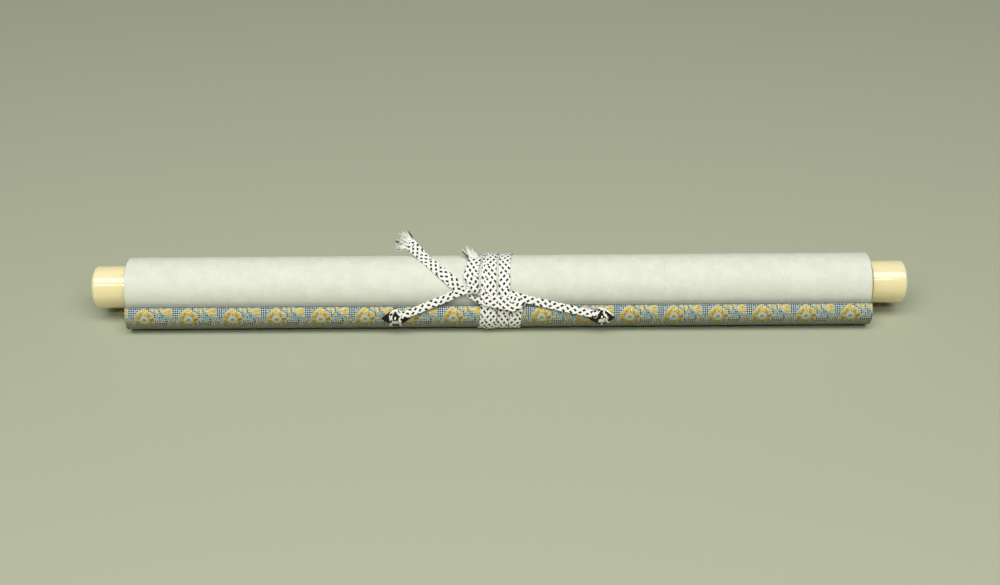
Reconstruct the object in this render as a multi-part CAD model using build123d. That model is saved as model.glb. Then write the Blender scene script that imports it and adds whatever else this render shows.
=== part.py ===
from build123d import *
import os
from math import acos, asin, atan2, cos, degrees, hypot, radians, sin, sqrt

# A hanging scroll, rolled up and tied: a long paper sheet wound on a wooden roller with a turned
# knob at each end, and a half-round top rod in brocade that lies against the outside of the roll.
# A flat braided cord hangs between two eyelets in the rod, and a second one binds the roll.
# Millimetres. X runs along the roller, the rod lies on the -Y side and Z is up.

# Rolled sheet
SHEET_WIDTH = 545.0
SHEET_THICKNESS = 0.45
SHEET_TURNS = 17
SHEET_DRIFT = -0.9  # the roll was wound this far off the roller's middle
ROLL_RADIUS = 21.7
FLAT_SPOT_DEPTH = 0.12  # what the soft roll gives where it lies

# Roller and its tenons
ROLLER_RADIUS = 12.5
ROLLER_MARGIN = 1.2  # bare roller beyond the sheet at each end
TENON_RADIUS = 6.0
TENON_LENGTH = 14.0
GLUE_GAP = 0.05

# Turned knobs
KNOB_RADIUS = 15.7
KNOB_LENGTH = 26.3
KNOB_EDGE_RADIUS = 2.6
KNOB_DOME = 0.8
KNOB_LIP = 0.5
SOCKET_SPARE_DEPTH = 1.0

# Top rod and the brocade folded round it
ROD_OUTER_RADIUS = 11.2
BROCADE_THICKNESS = 0.4

# Eyelets and their lozenge plates
EYELET_SPACING = 150.0
EYELET_TURN = 42.0  # degrees from the middle of the rod's round towards the top
EYELET_WIRE_RADIUS = 0.6
EYELET_LEG_RADIUS = 0.5
EYELET_LOOP_RADIUS = 1.9
EYELET_LIFT = 2.2
EYELET_LEG_DEPTH = 6.5
LEG_HOLE_CLEARANCE = 0.08
PLATE_LENGTH = 21.0
PLATE_HEIGHT = 15.6
PLATE_THICKNESS = 0.4
PLATE_CORNER_RADIUS = 0.8

# Braided cord
CORD_THICKNESS = 1.2
CORD_WIDTH = 8.5
CORD_CLEARANCE = 0.1
BINDING_START = -14.0
BINDING_WIDTH = 21.9
LAST_PASS_WIDTH = 7.3
LAST_PASS_TOP = -13.6

# The free cords' routes are drawn square to a direction FACING degrees above the front:
# x along the roller, up across the drawing, out towards whoever looks at it. Each station also
# gives how far the braid's face leans up from that direction, in degrees, and its width.
FACING = 35.0
HANGING_ROUTE = [
    (-73.2, -23.2, 22.6, -12, 3.4),
    (-69.5, -22.0, 22.9, -6, 5.0),
    (-62.0, -19.3, 23.1, -3, 5.8),
    (-51.3, -14.8, 23.2, -3, 5.8),
    (-40.6, -10.7, 23.5, -3, 5.8),
    (-33.2, -7.6, 24.0, -3, 5.8),
    (-25.7, -5.8, 24.0, -3, 5.8),
    (-19.1, -5.6, 23.0, 0, 5.8),
    (-14.6, -5.7, 22.2, 0, 5.8),
    (-6.0, -5.9, 22.2, 0, 5.8),
    (2.0, -6.4, 22.2, 0, 5.8),
    (8.4, -7.5, 22.2, 0, 5.8),
    (18.9, -11.0, 22.6, -3, 5.8),
    (33.8, -14.5, 22.8, -3, 5.8),
    (44.9, -17.1, 22.9, -3, 5.8),
    (56.1, -19.6, 23.0, -3, 5.8),
    (64.0, -21.2, 23.0, -3, 5.8),
    (68.2, -22.2, 22.9, -6, 5.0),
    (71.4, -23.0, 22.6, -12, 3.4),
]
TAIL_ROUTE = [
    (14.0, -9.6, 24.8, -3, 7.5),
    (9.2, -11.8, 24.8, -3, 8.5),
    (2.5, -13.2, 24.8, -3, 8.5),
    (-4.2, -12.8, 24.8, -3, 8.5),
    (-10.9, -11.8, 24.8, -3, 7.5),
    (-15.0, -11.8, 24.7, -6, 5.0),
    (-18.8, -11.4, 22.4, -20, 3.0),
    (-22.6, -8.9, 21.3, -20, 3.0),
    (-27.2, -4.6, 21.95, -12, 6.0),
    (-32.1, -0.2, 22.6, 0, 8.5),
    (-36.9, 4.2, 22.2, 11, 8.5),
    (-40.6, 7.4, 21.2, 19, 8.5),
    (-44.3, 10.6, 19.8, 28, 8.5),
    (-48.0, 13.7, 17.8, 38, 8.5),
    (-51.8, 16.8, 15.1, 48, 8.5),
    (-58.5, 22.4, 8.9, 51, 8.5),
    (-67.5, 29.4, 0.2, 51, 8.5),
]
STUB_ROUTE = [
    (-19.6, -1.6, 22.5, -4, 7.5),
    (-20.2, 2.0, 22.5, 5, 8.0),
    (-20.2, 5.8, 21.7, 15, 8.4),
    (-19.9, 9.6, 20.3, 26, 8.4),
    (-19.6, 13.2, 18.1, 36, 8.4),
    (-19.3, 16.2, 15.5, 45, 8.4),
    (-18.9, 21.6, 9.9, 46, 8.4),
]

# What follows from the sizes above
sheet_pitch = (ROLL_RADIUS - SHEET_THICKNESS - ROLLER_RADIUS - GLUE_GAP) / (SHEET_TURNS - 1)
roll_bottom = ROLL_RADIUS + sheet_pitch
rod_distance = ROLL_RADIUS + GLUE_GAP + BROCADE_THICKNESS
rod_radius = ROD_OUTER_RADIUS - BROCADE_THICKNESS
# The roll lies on its own lowest point and on the rod's, so this is how far the rod hangs down.
rod_drop = degrees(asin((roll_bottom - ROD_OUTER_RADIUS) / rod_distance))
roller_length = SHEET_WIDTH + 2 * ROLLER_MARGIN
sheet_start = SHEET_DRIFT - SHEET_WIDTH / 2
binding_end = BINDING_START + BINDING_WIDTH
section_size = 2 * (ROLL_RADIUS + ROD_OUTER_RADIUS)  # more than the section measures any way

SECTION = Plane.YZ


def beside(radius, drop):
    """Section point at a radius from the roll's axis, so many degrees below the front."""
    return Vector(-radius * cos(radians(drop)), -radius * sin(radians(drop)))


def outward(drop):
    """Direction in space that points so many degrees below the front."""
    return Vector(0, -cos(radians(drop)), -sin(radians(drop)))


def along_x(profile, start, length):
    """A section drawn across the roll, run along X."""
    return extrude(SECTION.offset(start) * profile, length)


rod_middle = beside(rod_distance, rod_drop)


# Rolled sheet
# Half circles on two centres, half a pitch apart, make a spiral in which each turn stands one
# pitch outside the last. The sheet then leaves the roll in a straight tongue to the rod.
spiral_start = ROLLER_RADIUS + GLUE_GAP
spiral_end = spiral_start + SHEET_TURNS * sheet_pitch
rod_corner = hypot(rod_distance, ROD_OUTER_RADIUS)
tongue_length = sqrt(rod_corner**2 - spiral_end**2)
tongue_drop = rod_drop + degrees(atan2(ROD_OUTER_RADIUS, rod_distance) + acos(spiral_end / rod_corner))


def spiral_arcs(first_radius):
    """The half circles of one face of the sheet, from the roller outwards."""
    arcs = []
    for half_turn in range(2 * SHEET_TURNS):
        rising = half_turn % 2
        centre = (rising * sheet_pitch / 2, 0)
        arcs.append(CenterArc(centre, first_radius + half_turn * sheet_pitch / 2, 180 * rising, -180))
    return arcs


def make_sheet():
    """The sheet as one band, glued to the roller inside and ending at the rod's lower edge."""
    inner, outer = spiral_end, spiral_end + SHEET_THICKNESS
    lines = [
        Line((spiral_start, 0), (spiral_start + SHEET_THICKNESS, 0)),
        Polyline((inner, 0), (inner, -tongue_length), (outer, -tongue_length), (outer, 0)),
    ]
    outline = spiral_arcs(spiral_start) + spiral_arcs(spiral_start + SHEET_THICKNESS) + lines
    band = Rot(Z=180 + tongue_drop) * make_face(outline)
    ground = 2 * FLAT_SPOT_DEPTH
    below = Pos(0, -roll_bottom + FLAT_SPOT_DEPTH - ground / 2) * Rectangle(ROLL_RADIUS, ground)
    return along_x(band - below, sheet_start, SHEET_WIDTH)


# Roller and knobs
def make_roller():
    """A turned stick with a tenon at each end."""
    core = Cylinder(ROLLER_RADIUS, roller_length)
    tenons = Cylinder(TENON_RADIUS, roller_length + 2 * TENON_LENGTH)
    return Rot(Y=90) * (core + tenons)


def make_knob():
    """A turned knob on the +X end: lip, straight barrel, rounded edge and a faint dome."""
    crown = KNOB_RADIUS - KNOB_EDGE_RADIUS
    barrel_end = KNOB_LENGTH - KNOB_DOME - KNOB_EDGE_RADIUS
    dome_radius = (crown**2 + KNOB_DOME**2) / (2 * KNOB_DOME)
    dome_angle = degrees(asin(crown / dome_radius))
    lip = [(0, 0), (0, KNOB_RADIUS - KNOB_LIP), (KNOB_LIP, KNOB_RADIUS), (barrel_end, KNOB_RADIUS)]
    outline = [
        Polyline(*lip),
        CenterArc((barrel_end, crown), KNOB_EDGE_RADIUS, 90, -90),
        CenterArc((KNOB_LENGTH - dome_radius, 0), dome_radius, 0, dome_angle),
        Line((KNOB_LENGTH, 0), (0, 0)),
    ]
    socket_depth = TENON_LENGTH + SOCKET_SPARE_DEPTH
    socket = Pos(X=socket_depth / 2) * Rot(Y=90) * Cylinder(TENON_RADIUS + GLUE_GAP, socket_depth)
    knob = revolve(make_face(outline), Axis.X) - socket
    return Pos(X=roller_length / 2) * knob


# Top rod in its brocade
def rod_section(radius):
    """Half circle with its flat towards the roll."""
    half = CenterArc((0, 0), radius, -90, 180)
    face = make_face([half, Line(half @ 1, half @ 0)])
    return Pos(*rod_middle) * Rot(Z=180 + rod_drop) * face


def eyelet_places():
    """A plane at each eyelet, on the brocade's round, facing straight out of it."""
    facing_out = outward(rod_drop - EYELET_TURN)
    centre = Vector(0, rod_middle.X, rod_middle.Y) + facing_out * ROD_OUTER_RADIUS
    for side in (-1, 1):
        x = SHEET_DRIFT + side * EYELET_SPACING / 2
        yield Plane(origin=(x, centre.Y, centre.Z), x_dir=(1, 0, 0), z_dir=facing_out)


def leg_holes():
    """The holes that the eyelets' legs go into, as deep as the legs and as far out again."""
    radius = EYELET_LEG_RADIUS + LEG_HOLE_CLEARANCE
    depth = EYELET_LEG_DEPTH + LEG_HOLE_CLEARANCE
    hole = Cylinder(radius, 2 * depth)
    return [place * hole for place in eyelet_places()]


def make_stick():
    """The half-round stick that the brocade is pasted round."""
    length = SHEET_WIDTH - 2 * BROCADE_THICKNESS
    return along_x(rod_section(rod_radius), sheet_start + BROCADE_THICKNESS, length)


def make_rod():
    """The wooden rod, with the holes for the eyelets' legs."""
    return make_stick() - leg_holes()


def make_cover():
    """Brocade pasted round the rod and folded over its ends."""
    outer = offset(rod_section(rod_radius), BROCADE_THICKNESS)
    return along_x(outer, sheet_start, SHEET_WIDTH) - make_stick() - leg_holes()


def make_eyelet(place):
    """A bent wire: one leg, with a loop bent over to lie above the plate."""
    loop = Pos(0, EYELET_LOOP_RADIUS, EYELET_LIFT) * Torus(EYELET_LOOP_RADIUS, EYELET_WIRE_RADIUS)
    leg_length = EYELET_LEG_DEPTH + EYELET_LIFT
    leg = Pos(Z=EYELET_LIFT - leg_length / 2) * Cylinder(EYELET_LEG_RADIUS, leg_length)
    return place * (loop + leg)


def make_plate(place):
    """A thin lozenge, bent to the rod's round, with a hole for the eyelet's leg."""
    side, top = PLATE_LENGTH / 2, PLATE_HEIGHT / 2
    lozenge = Polygon((-side, 0), (0, -top), (side, 0), (0, top))
    lozenge = fillet(lozenge.vertices(), PLATE_CORNER_RADIUS)
    hole = Circle(EYELET_LEG_RADIUS + LEG_HOLE_CLEARANCE)
    prism = place.offset(-ROD_OUTER_RADIUS / 2) * extrude(lozenge - hole, ROD_OUTER_RADIUS)
    inner_radius = ROD_OUTER_RADIUS + GLUE_GAP
    ring = Circle(inner_radius + PLATE_THICKNESS) - Circle(inner_radius)
    shell = along_x(Pos(*rod_middle) * ring, place.origin.X - PLATE_LENGTH, 2 * PLATE_LENGTH)
    return prism & shell


# Cords
def facing_point(x, up, out):
    """A point of a cord's route, in space."""
    return Vector(x, 0, 0) + outward(-90 - FACING) * up + outward(-FACING) * out


def make_ribbon(stations):
    """A flat braid through its stations, as straight-sided stretches of one band."""
    points = [facing_point(x, up, out) for x, up, out, _, _ in stations]
    sections = []
    for i, (_, _, _, lean, width) in enumerate(stations):
        travel = points[min(i + 1, len(points) - 1)] - points[max(i - 1, 0)]
        across = travel.cross(outward(-FACING - lean))
        square_on = Plane(origin=points[i], x_dir=across, z_dir=travel)
        sections.append(square_on * Rectangle(width, CORD_THICKNESS))
    return loft(sections, ruled=True)


def bound_outline(margin):
    """The line of a cord pulled tight round roll, rod and the cord beneath it, and a margin."""
    left, right = BINDING_START - CORD_WIDTH / 2, binding_end + CORD_WIDTH / 2
    under = [s for s in HANGING_ROUTE if left < s[0] < right]
    out = max(s[2] for s in under) + CORD_THICKNESS / 2
    top = facing_point(0, max(s[1] + s[4] / 2 for s in under), out)
    low = facing_point(0, min(s[1] - s[4] / 2 for s in under), out)
    rounds = [
        Circle(roll_bottom + margin),
        Pos(*rod_middle) * Circle(ROD_OUTER_RADIUS + margin),
        Pos(top.Y, top.Z) * Circle(margin),
        Pos(low.Y, low.Z) * Circle(margin),
    ]
    return make_hull([edge for part in rounds for edge in part.edges()])


def make_turns():
    """The binding cord's turns, side by side, and its last pass up the front of the rod."""
    band = bound_outline(CORD_CLEARANCE + CORD_THICKNESS) - bound_outline(CORD_CLEARANCE)
    below = Pos(0, LAST_PASS_TOP - section_size / 2) * Rectangle(2 * section_size, section_size)
    low_part = Rot(Z=-FACING) * below
    turns = along_x(band, BINDING_START, BINDING_WIDTH)
    last_pass = along_x(band & low_part, binding_end, LAST_PASS_WIDTH)
    return turns + last_pass


left_place, right_place = eyelet_places()
knob = make_knob()
pieces = {
    "roller": make_roller(),
    "rolled_sheet": make_sheet(),
    "right_knob": knob,
    "left_knob": Rot(Z=180) * knob,
    "top_rod": make_rod(),
    "brocade_cover": make_cover(),
    "left_eyelet_plate": make_plate(left_place),
    "right_eyelet_plate": make_plate(right_place),
    "left_eyelet": make_eyelet(left_place),
    "right_eyelet": make_eyelet(right_place),
    "binding_cord_turns": make_turns(),
}
free_cords = {
    "hanging_cord": make_ribbon(HANGING_ROUTE),
    "binding_cord_tail": make_ribbon(TAIL_ROUTE),
    "binding_cord_stub": make_ribbon(STUB_ROUTE),
}

# The origin is under the middle of the object, on the surface that it lies on.
box = Compound(children=[Compound(piece.wrapped) for piece in pieces.values()]).bounding_box()
seat = Pos(-box.center().X, -box.center().Y, -box.min.Z)
os.makedirs("parts", exist_ok=True)
for name, piece in (pieces | free_cords).items():
    export_step(seat * piece, f"parts/{name}.step")
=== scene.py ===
"""Dresses a rolled hanging scroll: paper roll, ivory knobs, brocade rod and braided cords."""
import logging
from dataclasses import dataclass, field, replace
from enum import Enum
from functools import cache

import bpy
import numpy as np
from mathutils import Matrix, Vector


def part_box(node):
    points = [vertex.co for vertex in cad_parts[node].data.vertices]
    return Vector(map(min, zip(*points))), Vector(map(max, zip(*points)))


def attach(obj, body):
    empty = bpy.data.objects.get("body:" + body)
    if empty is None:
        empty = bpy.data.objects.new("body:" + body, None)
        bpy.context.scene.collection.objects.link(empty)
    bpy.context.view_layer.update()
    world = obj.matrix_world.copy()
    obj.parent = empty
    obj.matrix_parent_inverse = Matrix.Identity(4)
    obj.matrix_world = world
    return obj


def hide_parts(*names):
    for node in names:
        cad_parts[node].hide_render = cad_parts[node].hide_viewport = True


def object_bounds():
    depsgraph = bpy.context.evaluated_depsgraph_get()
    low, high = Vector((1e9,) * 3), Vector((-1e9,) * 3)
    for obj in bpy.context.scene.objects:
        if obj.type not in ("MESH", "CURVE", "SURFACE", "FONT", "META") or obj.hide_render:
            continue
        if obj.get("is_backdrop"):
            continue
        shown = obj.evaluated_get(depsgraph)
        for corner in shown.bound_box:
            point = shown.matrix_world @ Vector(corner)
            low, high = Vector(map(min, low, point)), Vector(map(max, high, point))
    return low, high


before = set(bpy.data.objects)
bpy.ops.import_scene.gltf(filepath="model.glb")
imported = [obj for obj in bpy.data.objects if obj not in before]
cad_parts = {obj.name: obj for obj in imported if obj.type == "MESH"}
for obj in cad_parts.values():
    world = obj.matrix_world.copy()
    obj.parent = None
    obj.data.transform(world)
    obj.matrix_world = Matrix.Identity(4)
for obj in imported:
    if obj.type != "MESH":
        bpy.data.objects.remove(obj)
CAD_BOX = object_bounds()

Socket, Node, Tree = bpy.types.NodeSocket, bpy.types.Node, bpy.types.NodeTree
Material, Piece = bpy.types.Material, bpy.types.Object
Tint = tuple[float, float, float, float]

LOG = logging.getLogger("scroll")
MM = 0.001
BODY = "root"
IMAGE_WIDTH = 1000  # pixels across the photograph
FACING = np.radians(35.0)  # how far above the front the cords' routes are drawn from


def roller_axis() -> np.ndarray:
    """The middle of the roller, which every section is drawn about, in metres."""
    low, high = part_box("roller")
    return (np.array(low) + np.array(high)) / 2


AXIS = roller_axis()
OUT = np.array([0.0, -np.cos(FACING), np.sin(FACING)])
UP = np.array([0.0, np.sin(FACING), np.cos(FACING)])
ALONG = np.array([1.0, 0.0, 0.0])


class Side(Enum):
    """The two ends of the scroll, as its pieces are named."""

    LEFT = "left"
    RIGHT = "right"

    @property
    def sign(self) -> int:
        """Which way the side lies along the roller."""
        return -1 if self is Side.LEFT else 1


def unit(vectors: np.ndarray) -> np.ndarray:
    """Each vector at a length of one."""
    return vectors / np.maximum(np.linalg.norm(vectors, axis=-1, keepdims=True), 1e-12)


def drawn(points: np.ndarray) -> np.ndarray:
    """Points of the cords' drawing (along, up and out in millimetres) in the part's frame."""
    points = np.asarray(points, dtype=float)
    along, up, out = points[..., 0:1], points[..., 1:2], points[..., 2:3]
    return AXIS + ((along - AXIS[0] / MM) * ALONG + up * UP + out * OUT) * MM


def smooth_step(low: float, high: float, value: np.ndarray) -> np.ndarray:
    """0 below low, 1 above high, and 3t squared less 2t cubed between."""
    t = np.clip((value - low) / (high - low), 0.0, 1.0)
    return t * t * (3 - 2 * t)


def waves(seed: int, count: int, shortest: float, longest: float, *along: np.ndarray) -> np.ndarray:
    """A smooth random field from -1 to 1: the mean of sines in random directions.

    Args:
        seed: What the random draws start from.
        count: How many sines there are.
        shortest: The shortest wavelength, in the coordinates' own unit.
        longest: The longest wavelength.
        along: One array for each coordinate, all of one shape.

    Returns:
        An array of that shape.
    """
    draw = np.random.default_rng(seed)
    total = np.zeros(np.broadcast(*along).shape)
    for _ in range(count):
        direction = draw.normal(size=len(along))
        direction /= np.linalg.norm(direction)
        wavelength = shortest * (longest / shortest) ** draw.random()
        phase = sum(d * a for d, a in zip(direction, along)) / wavelength
        total = total + np.sin(2 * np.pi * (phase + draw.random()))
    return total / count


def screen(red: int, green: int, blue: int) -> Tint:
    """A shader's linear colour, opaque, from a screen's eight-bit one by the screen's own curve."""
    share = np.array([red, green, blue]) / 255
    curve = np.where(share <= 0.04045, share / 12.92, ((share + 0.055) / 1.055) ** 2.4)
    return (*(float(c) for c in curve), 1.0)


def link(thing: Piece) -> None:
    """Puts an object into the scene."""
    bpy.context.scene.collection.objects.link(thing)


@dataclass(frozen=True)
class Rod:
    """The half-round top rod in the section: its radius and distance in metres, its drop in radians."""

    radius: float = 11.2 * MM
    distance: float = 22.15 * MM
    drop: float = np.radians(29.907)

    def middle(self) -> tuple[float, float]:
        """How far its middle lies forward of the roller's axis and above it, in metres."""
        return self.distance * np.cos(self.drop), -self.distance * np.sin(self.drop)


ROD = Rod()


class MeshPiece:
    """Puts worked-out arrays into a Blender mesh that rides on the part's body."""

    @staticmethod
    def grid(rows: int, columns: int) -> np.ndarray:
        """Quads between neighbours on rings of points.

        Args:
            rows: The number of rings.
            columns: Points on each ring, whose last one is next to its first.

        Returns:
            One row of four indices for each quad.
        """
        ring, j = np.arange(rows - 1)[:, None] * columns, np.arange(columns)[None, :]
        after = (j + 1) % columns
        return np.stack([ring + j, ring + columns + j, ring + columns + after, ring + after], axis=-1).reshape(-1, 4)

    @staticmethod
    def fan(middle: int | np.ndarray, ring: int | np.ndarray, count: int, flipped: bool = False) -> np.ndarray:
        """Triangles from a middle point to the neighbours on a ring.

        Args:
            middle: The middle point's index, or one for each of several rings.
            ring: The index of the ring's first point, in the same way.
            count: Points on the ring.
            flipped: Whether the triangles face the other way.

        Returns:
            One row of three indices for each triangle.
        """
        first = np.arange(count)
        second = (first + 1) % count
        if flipped:
            first, second = second, first
        middle, ring = np.reshape(middle, (-1, 1)), np.reshape(ring, (-1, 1))
        return np.stack([middle + 0 * first, ring + first, ring + second], axis=-1).reshape(-1, 3)

    @classmethod
    def tube(cls, points: np.ndarray, ends: tuple, flipped: bool = False) -> tuple[np.ndarray, list[np.ndarray]]:
        """Closes rings of points to a tube, with a fan at each end.

        Args:
            points: Points by ring and place on it.
            ends: The middle points of the first and the last ring.
            flipped: Whether all faces are turned round.

        Returns:
            All points, the two ends last, and the arrays of faces.
        """
        rows, columns = points.shape[:2]
        count = rows * columns
        fans = [cls.fan(count, 0, columns), cls.fan(count + 1, count - columns, columns, True)]
        faces = [f[:, :: -1 if flipped else 1] for f in (cls.grid(rows, columns), *fans)]
        return np.vstack([points.reshape(-1, 3), *ends]), faces

    @staticmethod
    def build(
        name: str, points: np.ndarray, faces: list[np.ndarray], uv: list[np.ndarray] | None = None
    ) -> Piece:
        """Makes the object, at the origin, and puts it on the part's body.

        Args:
            name: The piece's name.
            points: Its points in metres, in the part's frame.
            faces: Arrays of quads and of triangles.
            uv: For each array of faces, the two coordinates of each corner.

        Returns:
            The new object.
        """
        mesh = bpy.data.meshes.new(name)
        corners = np.concatenate([f.ravel() for f in faces]).astype(np.int32)
        sizes = np.concatenate([np.full(len(f), f.shape[1]) for f in faces]).astype(np.int32)
        mesh.vertices.add(len(points))
        mesh.vertices.foreach_set("co", points.astype(np.float32).ravel())
        mesh.loops.add(len(corners))
        mesh.loops.foreach_set("vertex_index", corners)
        mesh.polygons.add(len(sizes))
        mesh.polygons.foreach_set("loop_start", np.concatenate([[0], np.cumsum(sizes)[:-1]]).astype(np.int32))
        if uv is not None:
            values = np.concatenate([u.reshape(-1, 2) for u in uv]).astype(np.float32)
            mesh.uv_layers.new(name="UVMap").uv.foreach_set("vector", values.ravel())
        mesh.polygons.foreach_set("use_smooth", np.full(len(sizes), True))
        mesh.update(calc_edges=True)
        mesh.validate()
        piece = bpy.data.objects.new(name, mesh)
        link(piece)
        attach(piece, BODY)
        return piece

    @staticmethod
    def dress(piece: Piece, material: Material, slot: str | None = None) -> None:
        """Gives a piece its material."""
        piece.data.materials.clear()
        piece.data.materials.append(material)


class Route:
    """Reads smooth lines off splines whose control points are a cord's route."""

    @staticmethod
    def follow(points: np.ndarray, resolution: int) -> np.ndarray:
        """The points along a smooth spline with these control points.

        Args:
            points: The control points, one row each.
            resolution: Points on each span.

        Returns:
            The spline's points, one row each.
        """
        curve = bpy.data.curves.new("route", "CURVE")
        curve.dimensions = "3D"
        curve.resolution_u = resolution
        spline = curve.splines.new("NURBS")
        spline.points.add(len(points) - 1)
        spline.points.foreach_set("co", np.hstack([points, np.ones((len(points), 1))]).ravel())
        spline.order_u = 3
        spline.use_endpoint_u = True
        carrier = bpy.data.objects.new("route", curve)
        mesh = bpy.data.meshes.new_from_object(carrier)
        line = np.zeros(len(mesh.vertices) * 3)
        mesh.vertices.foreach_get("co", line)
        bpy.data.objects.remove(carrier)
        bpy.data.curves.remove(curve)
        bpy.data.meshes.remove(mesh)
        return line.reshape(-1, 3)

    @staticmethod
    def spaced(step: float, line: np.ndarray, *others: np.ndarray) -> list[np.ndarray]:
        """Points a step apart along a line, with other values carried along.

        Args:
            step: The distance between points, in the line's unit.
            line: The line, one row for each point.
            others: Values at the line's points, one row each.

        Returns:
            The distance of each new point, the new points, and the other values there.
        """
        ahead = np.concatenate([[0], np.cumsum(np.linalg.norm(np.diff(line, axis=0), axis=1))])
        at = np.linspace(0, ahead[-1], int(np.ceil(ahead[-1] / step)) + 1)
        carried = [np.stack([np.interp(at, ahead, part) for part in v.T], axis=1) for v in (line, *others)]
        return [at, *carried]


@dataclass(frozen=True)
class Station:
    """One point of a flat cord's route, in millimetres about the roller's axis.

    x runs along the roller, up and out lie square to and along the direction that the route is
    drawn from. lean tips the braid's face up, in degrees, and width is how wide it lies there.
    """

    x: float
    up: float
    out: float
    lean: float = 0.0
    width: float = 8.5

    def place(self) -> np.ndarray:
        """The station in the part's frame, in metres."""
        return drawn(np.array([self.x, self.up, self.out]))

    def face(self) -> np.ndarray:
        """The direction that the braid's outer face looks in."""
        lean = np.radians(self.lean)
        return OUT * np.cos(lean) + UP * np.sin(lean)


@dataclass(frozen=True)
class Ribbon:
    """A flat cord's line with the half-width vector at each point, in metres."""

    middle: np.ndarray
    across: np.ndarray

    def smoothed(self, step: float, resolution: int = 10) -> "Ribbon":
        """The same ribbon along a smooth spline, with a point every step."""
        line = Route.follow(self.middle, resolution)
        edge = Route.follow(self.middle + self.across, resolution)
        _, middle, across = Route.spaced(step, line, edge - line)
        return Ribbon(middle, across)

    def joined(self, other: "Ribbon") -> "Ribbon":
        """This ribbon with another one after it."""
        return Ribbon(np.vstack([self.middle, other.middle]), np.vstack([self.across, other.across]))

    def length(self) -> float:
        """The length of its middle line, in metres."""
        return float(np.linalg.norm(np.diff(self.middle, axis=0), axis=1).sum())

    @staticmethod
    def through(stations: list[Station], turned_over: bool = False) -> "Ribbon":
        """The ribbon through stations, each square to the run between its neighbours.

        Args:
            stations: The route.
            turned_over: Whether the braid's first face looks inwards.

        Returns:
            The ribbon's middle and its half-width vectors.
        """
        middle = np.array([s.place() for s in stations])
        faces = np.array([s.face() for s in stations]) * (-1 if turned_over else 1)
        half = np.array([s.width for s in stations])[:, None] * MM / 2
        travel = np.gradient(middle, axis=0)
        return Ribbon(middle, unit(np.cross(travel, faces)) * half)


class Weave:
    """The braid's crossings, as one formula for the mesh and the shader.

    Strands run slanting both ways. Floats of the two sets alternate like a chessboard, and every
    other strand of one set is dark, which shows as dashes: they repeat every two LONG along the
    cord and every two WIDE across it. The dark set changes over from band to band.
    """

    LONG = 2.75 * MM
    WIDE = 2.2 * MM
    BAND = 10.4 * MM
    BAND_SLANT = 0.6
    RELIEF = 0.13 * MM
    RIDGE = 0.7  # power of the sine across a float
    CROWN = 0.45  # how much of its height a float gains along it
    DASH = (0.76, 0.42)  # a dash's share of its float, along and across

    @classmethod
    def height(cls, along: np.ndarray, across: np.ndarray) -> np.ndarray:
        """How far a float stands out, from 0 at its edges to 1 at its middle."""
        p = along / cls.LONG + across / cls.WIDE
        q = along / cls.LONG - across / cls.WIDE
        even = (np.floor(p) + np.floor(q)) % 2 < 0.5
        side = np.where(even, q, p) % 1
        run = np.where(even, p, q) % 1
        return np.sin(np.pi * side) ** cls.RIDGE * (1 - cls.CROWN + cls.CROWN * np.sin(np.pi * run))


@dataclass
class FlatBraid:
    """A flat braided cord as one closed mesh with rounded edges."""

    thickness: float = 0.62 * MM
    step: float = 0.45 * MM
    around: int = 36
    squareness: float = 0.55
    roundness: float = 0.9
    flat_share: int = 6  # power of the share across at which the relief dies off
    thin_end: float = 0.35

    def section(self) -> tuple[np.ndarray, np.ndarray]:
        """Half-width and half-thickness shares round the section: cos and sin to a power."""
        angle = 2 * np.pi * np.arange(self.around) / self.around
        spread = np.cos(angle)
        rise = np.sign(np.sin(angle)) * np.abs(np.sin(angle)) ** self.squareness
        return np.sign(spread) * np.abs(spread) ** self.roundness, rise

    def build(self, name: str, ribbon: Ribbon, taper: float = 0.0) -> Piece:
        """The braid's mesh along a ribbon, with its woven relief.

        Point = middle + across * share + normal * thickness share, where the normal share grows
        by the weave's height. UV holds metres along and across, the back shifted by one width.

        Args:
            name: The piece's name.
            ribbon: The smooth ribbon that it follows.
            taper: How far from each end the thickness shrinks, in metres.

        Returns:
            The new object.
        """
        at, middle, across = Route.spaced(self.step, ribbon.middle, ribbon.across)
        travel = unit(np.gradient(middle, axis=0))
        normal = unit(np.cross(across, travel))
        half = np.linalg.norm(across, axis=1)
        spread, rise = self.section()
        side = spread[None, :] * half[:, None]
        relief = Weave.height(at[:, None] + 0 * side, side) * Weave.RELIEF
        edge = 1 - np.abs(spread[None, :]) ** self.flat_share
        thick = rise[None, :] * self.thickness / 2 + np.sign(rise)[None, :] * relief * edge
        if taper:
            ends = np.minimum(at, at[-1] - at)
            thick = thick * (self.thin_end + (1 - self.thin_end) * smooth_step(0, taper, ends))[:, None]
        points = middle[:, None] + across[:, None] * spread[None, :, None] + normal[:, None] * thick[..., None]
        flat, faces = MeshPiece.tube(points, (middle[0], middle[-1]))
        uv_points = np.stack([np.broadcast_to(at[:, None], side.shape), side], axis=-1).reshape(-1, 2)
        uv_points = np.append(uv_points, [[at[0], 0], [at[-1], 0]], axis=0)
        return MeshPiece.build(name, flat, faces, [uv_points[f] for f in faces])


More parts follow.
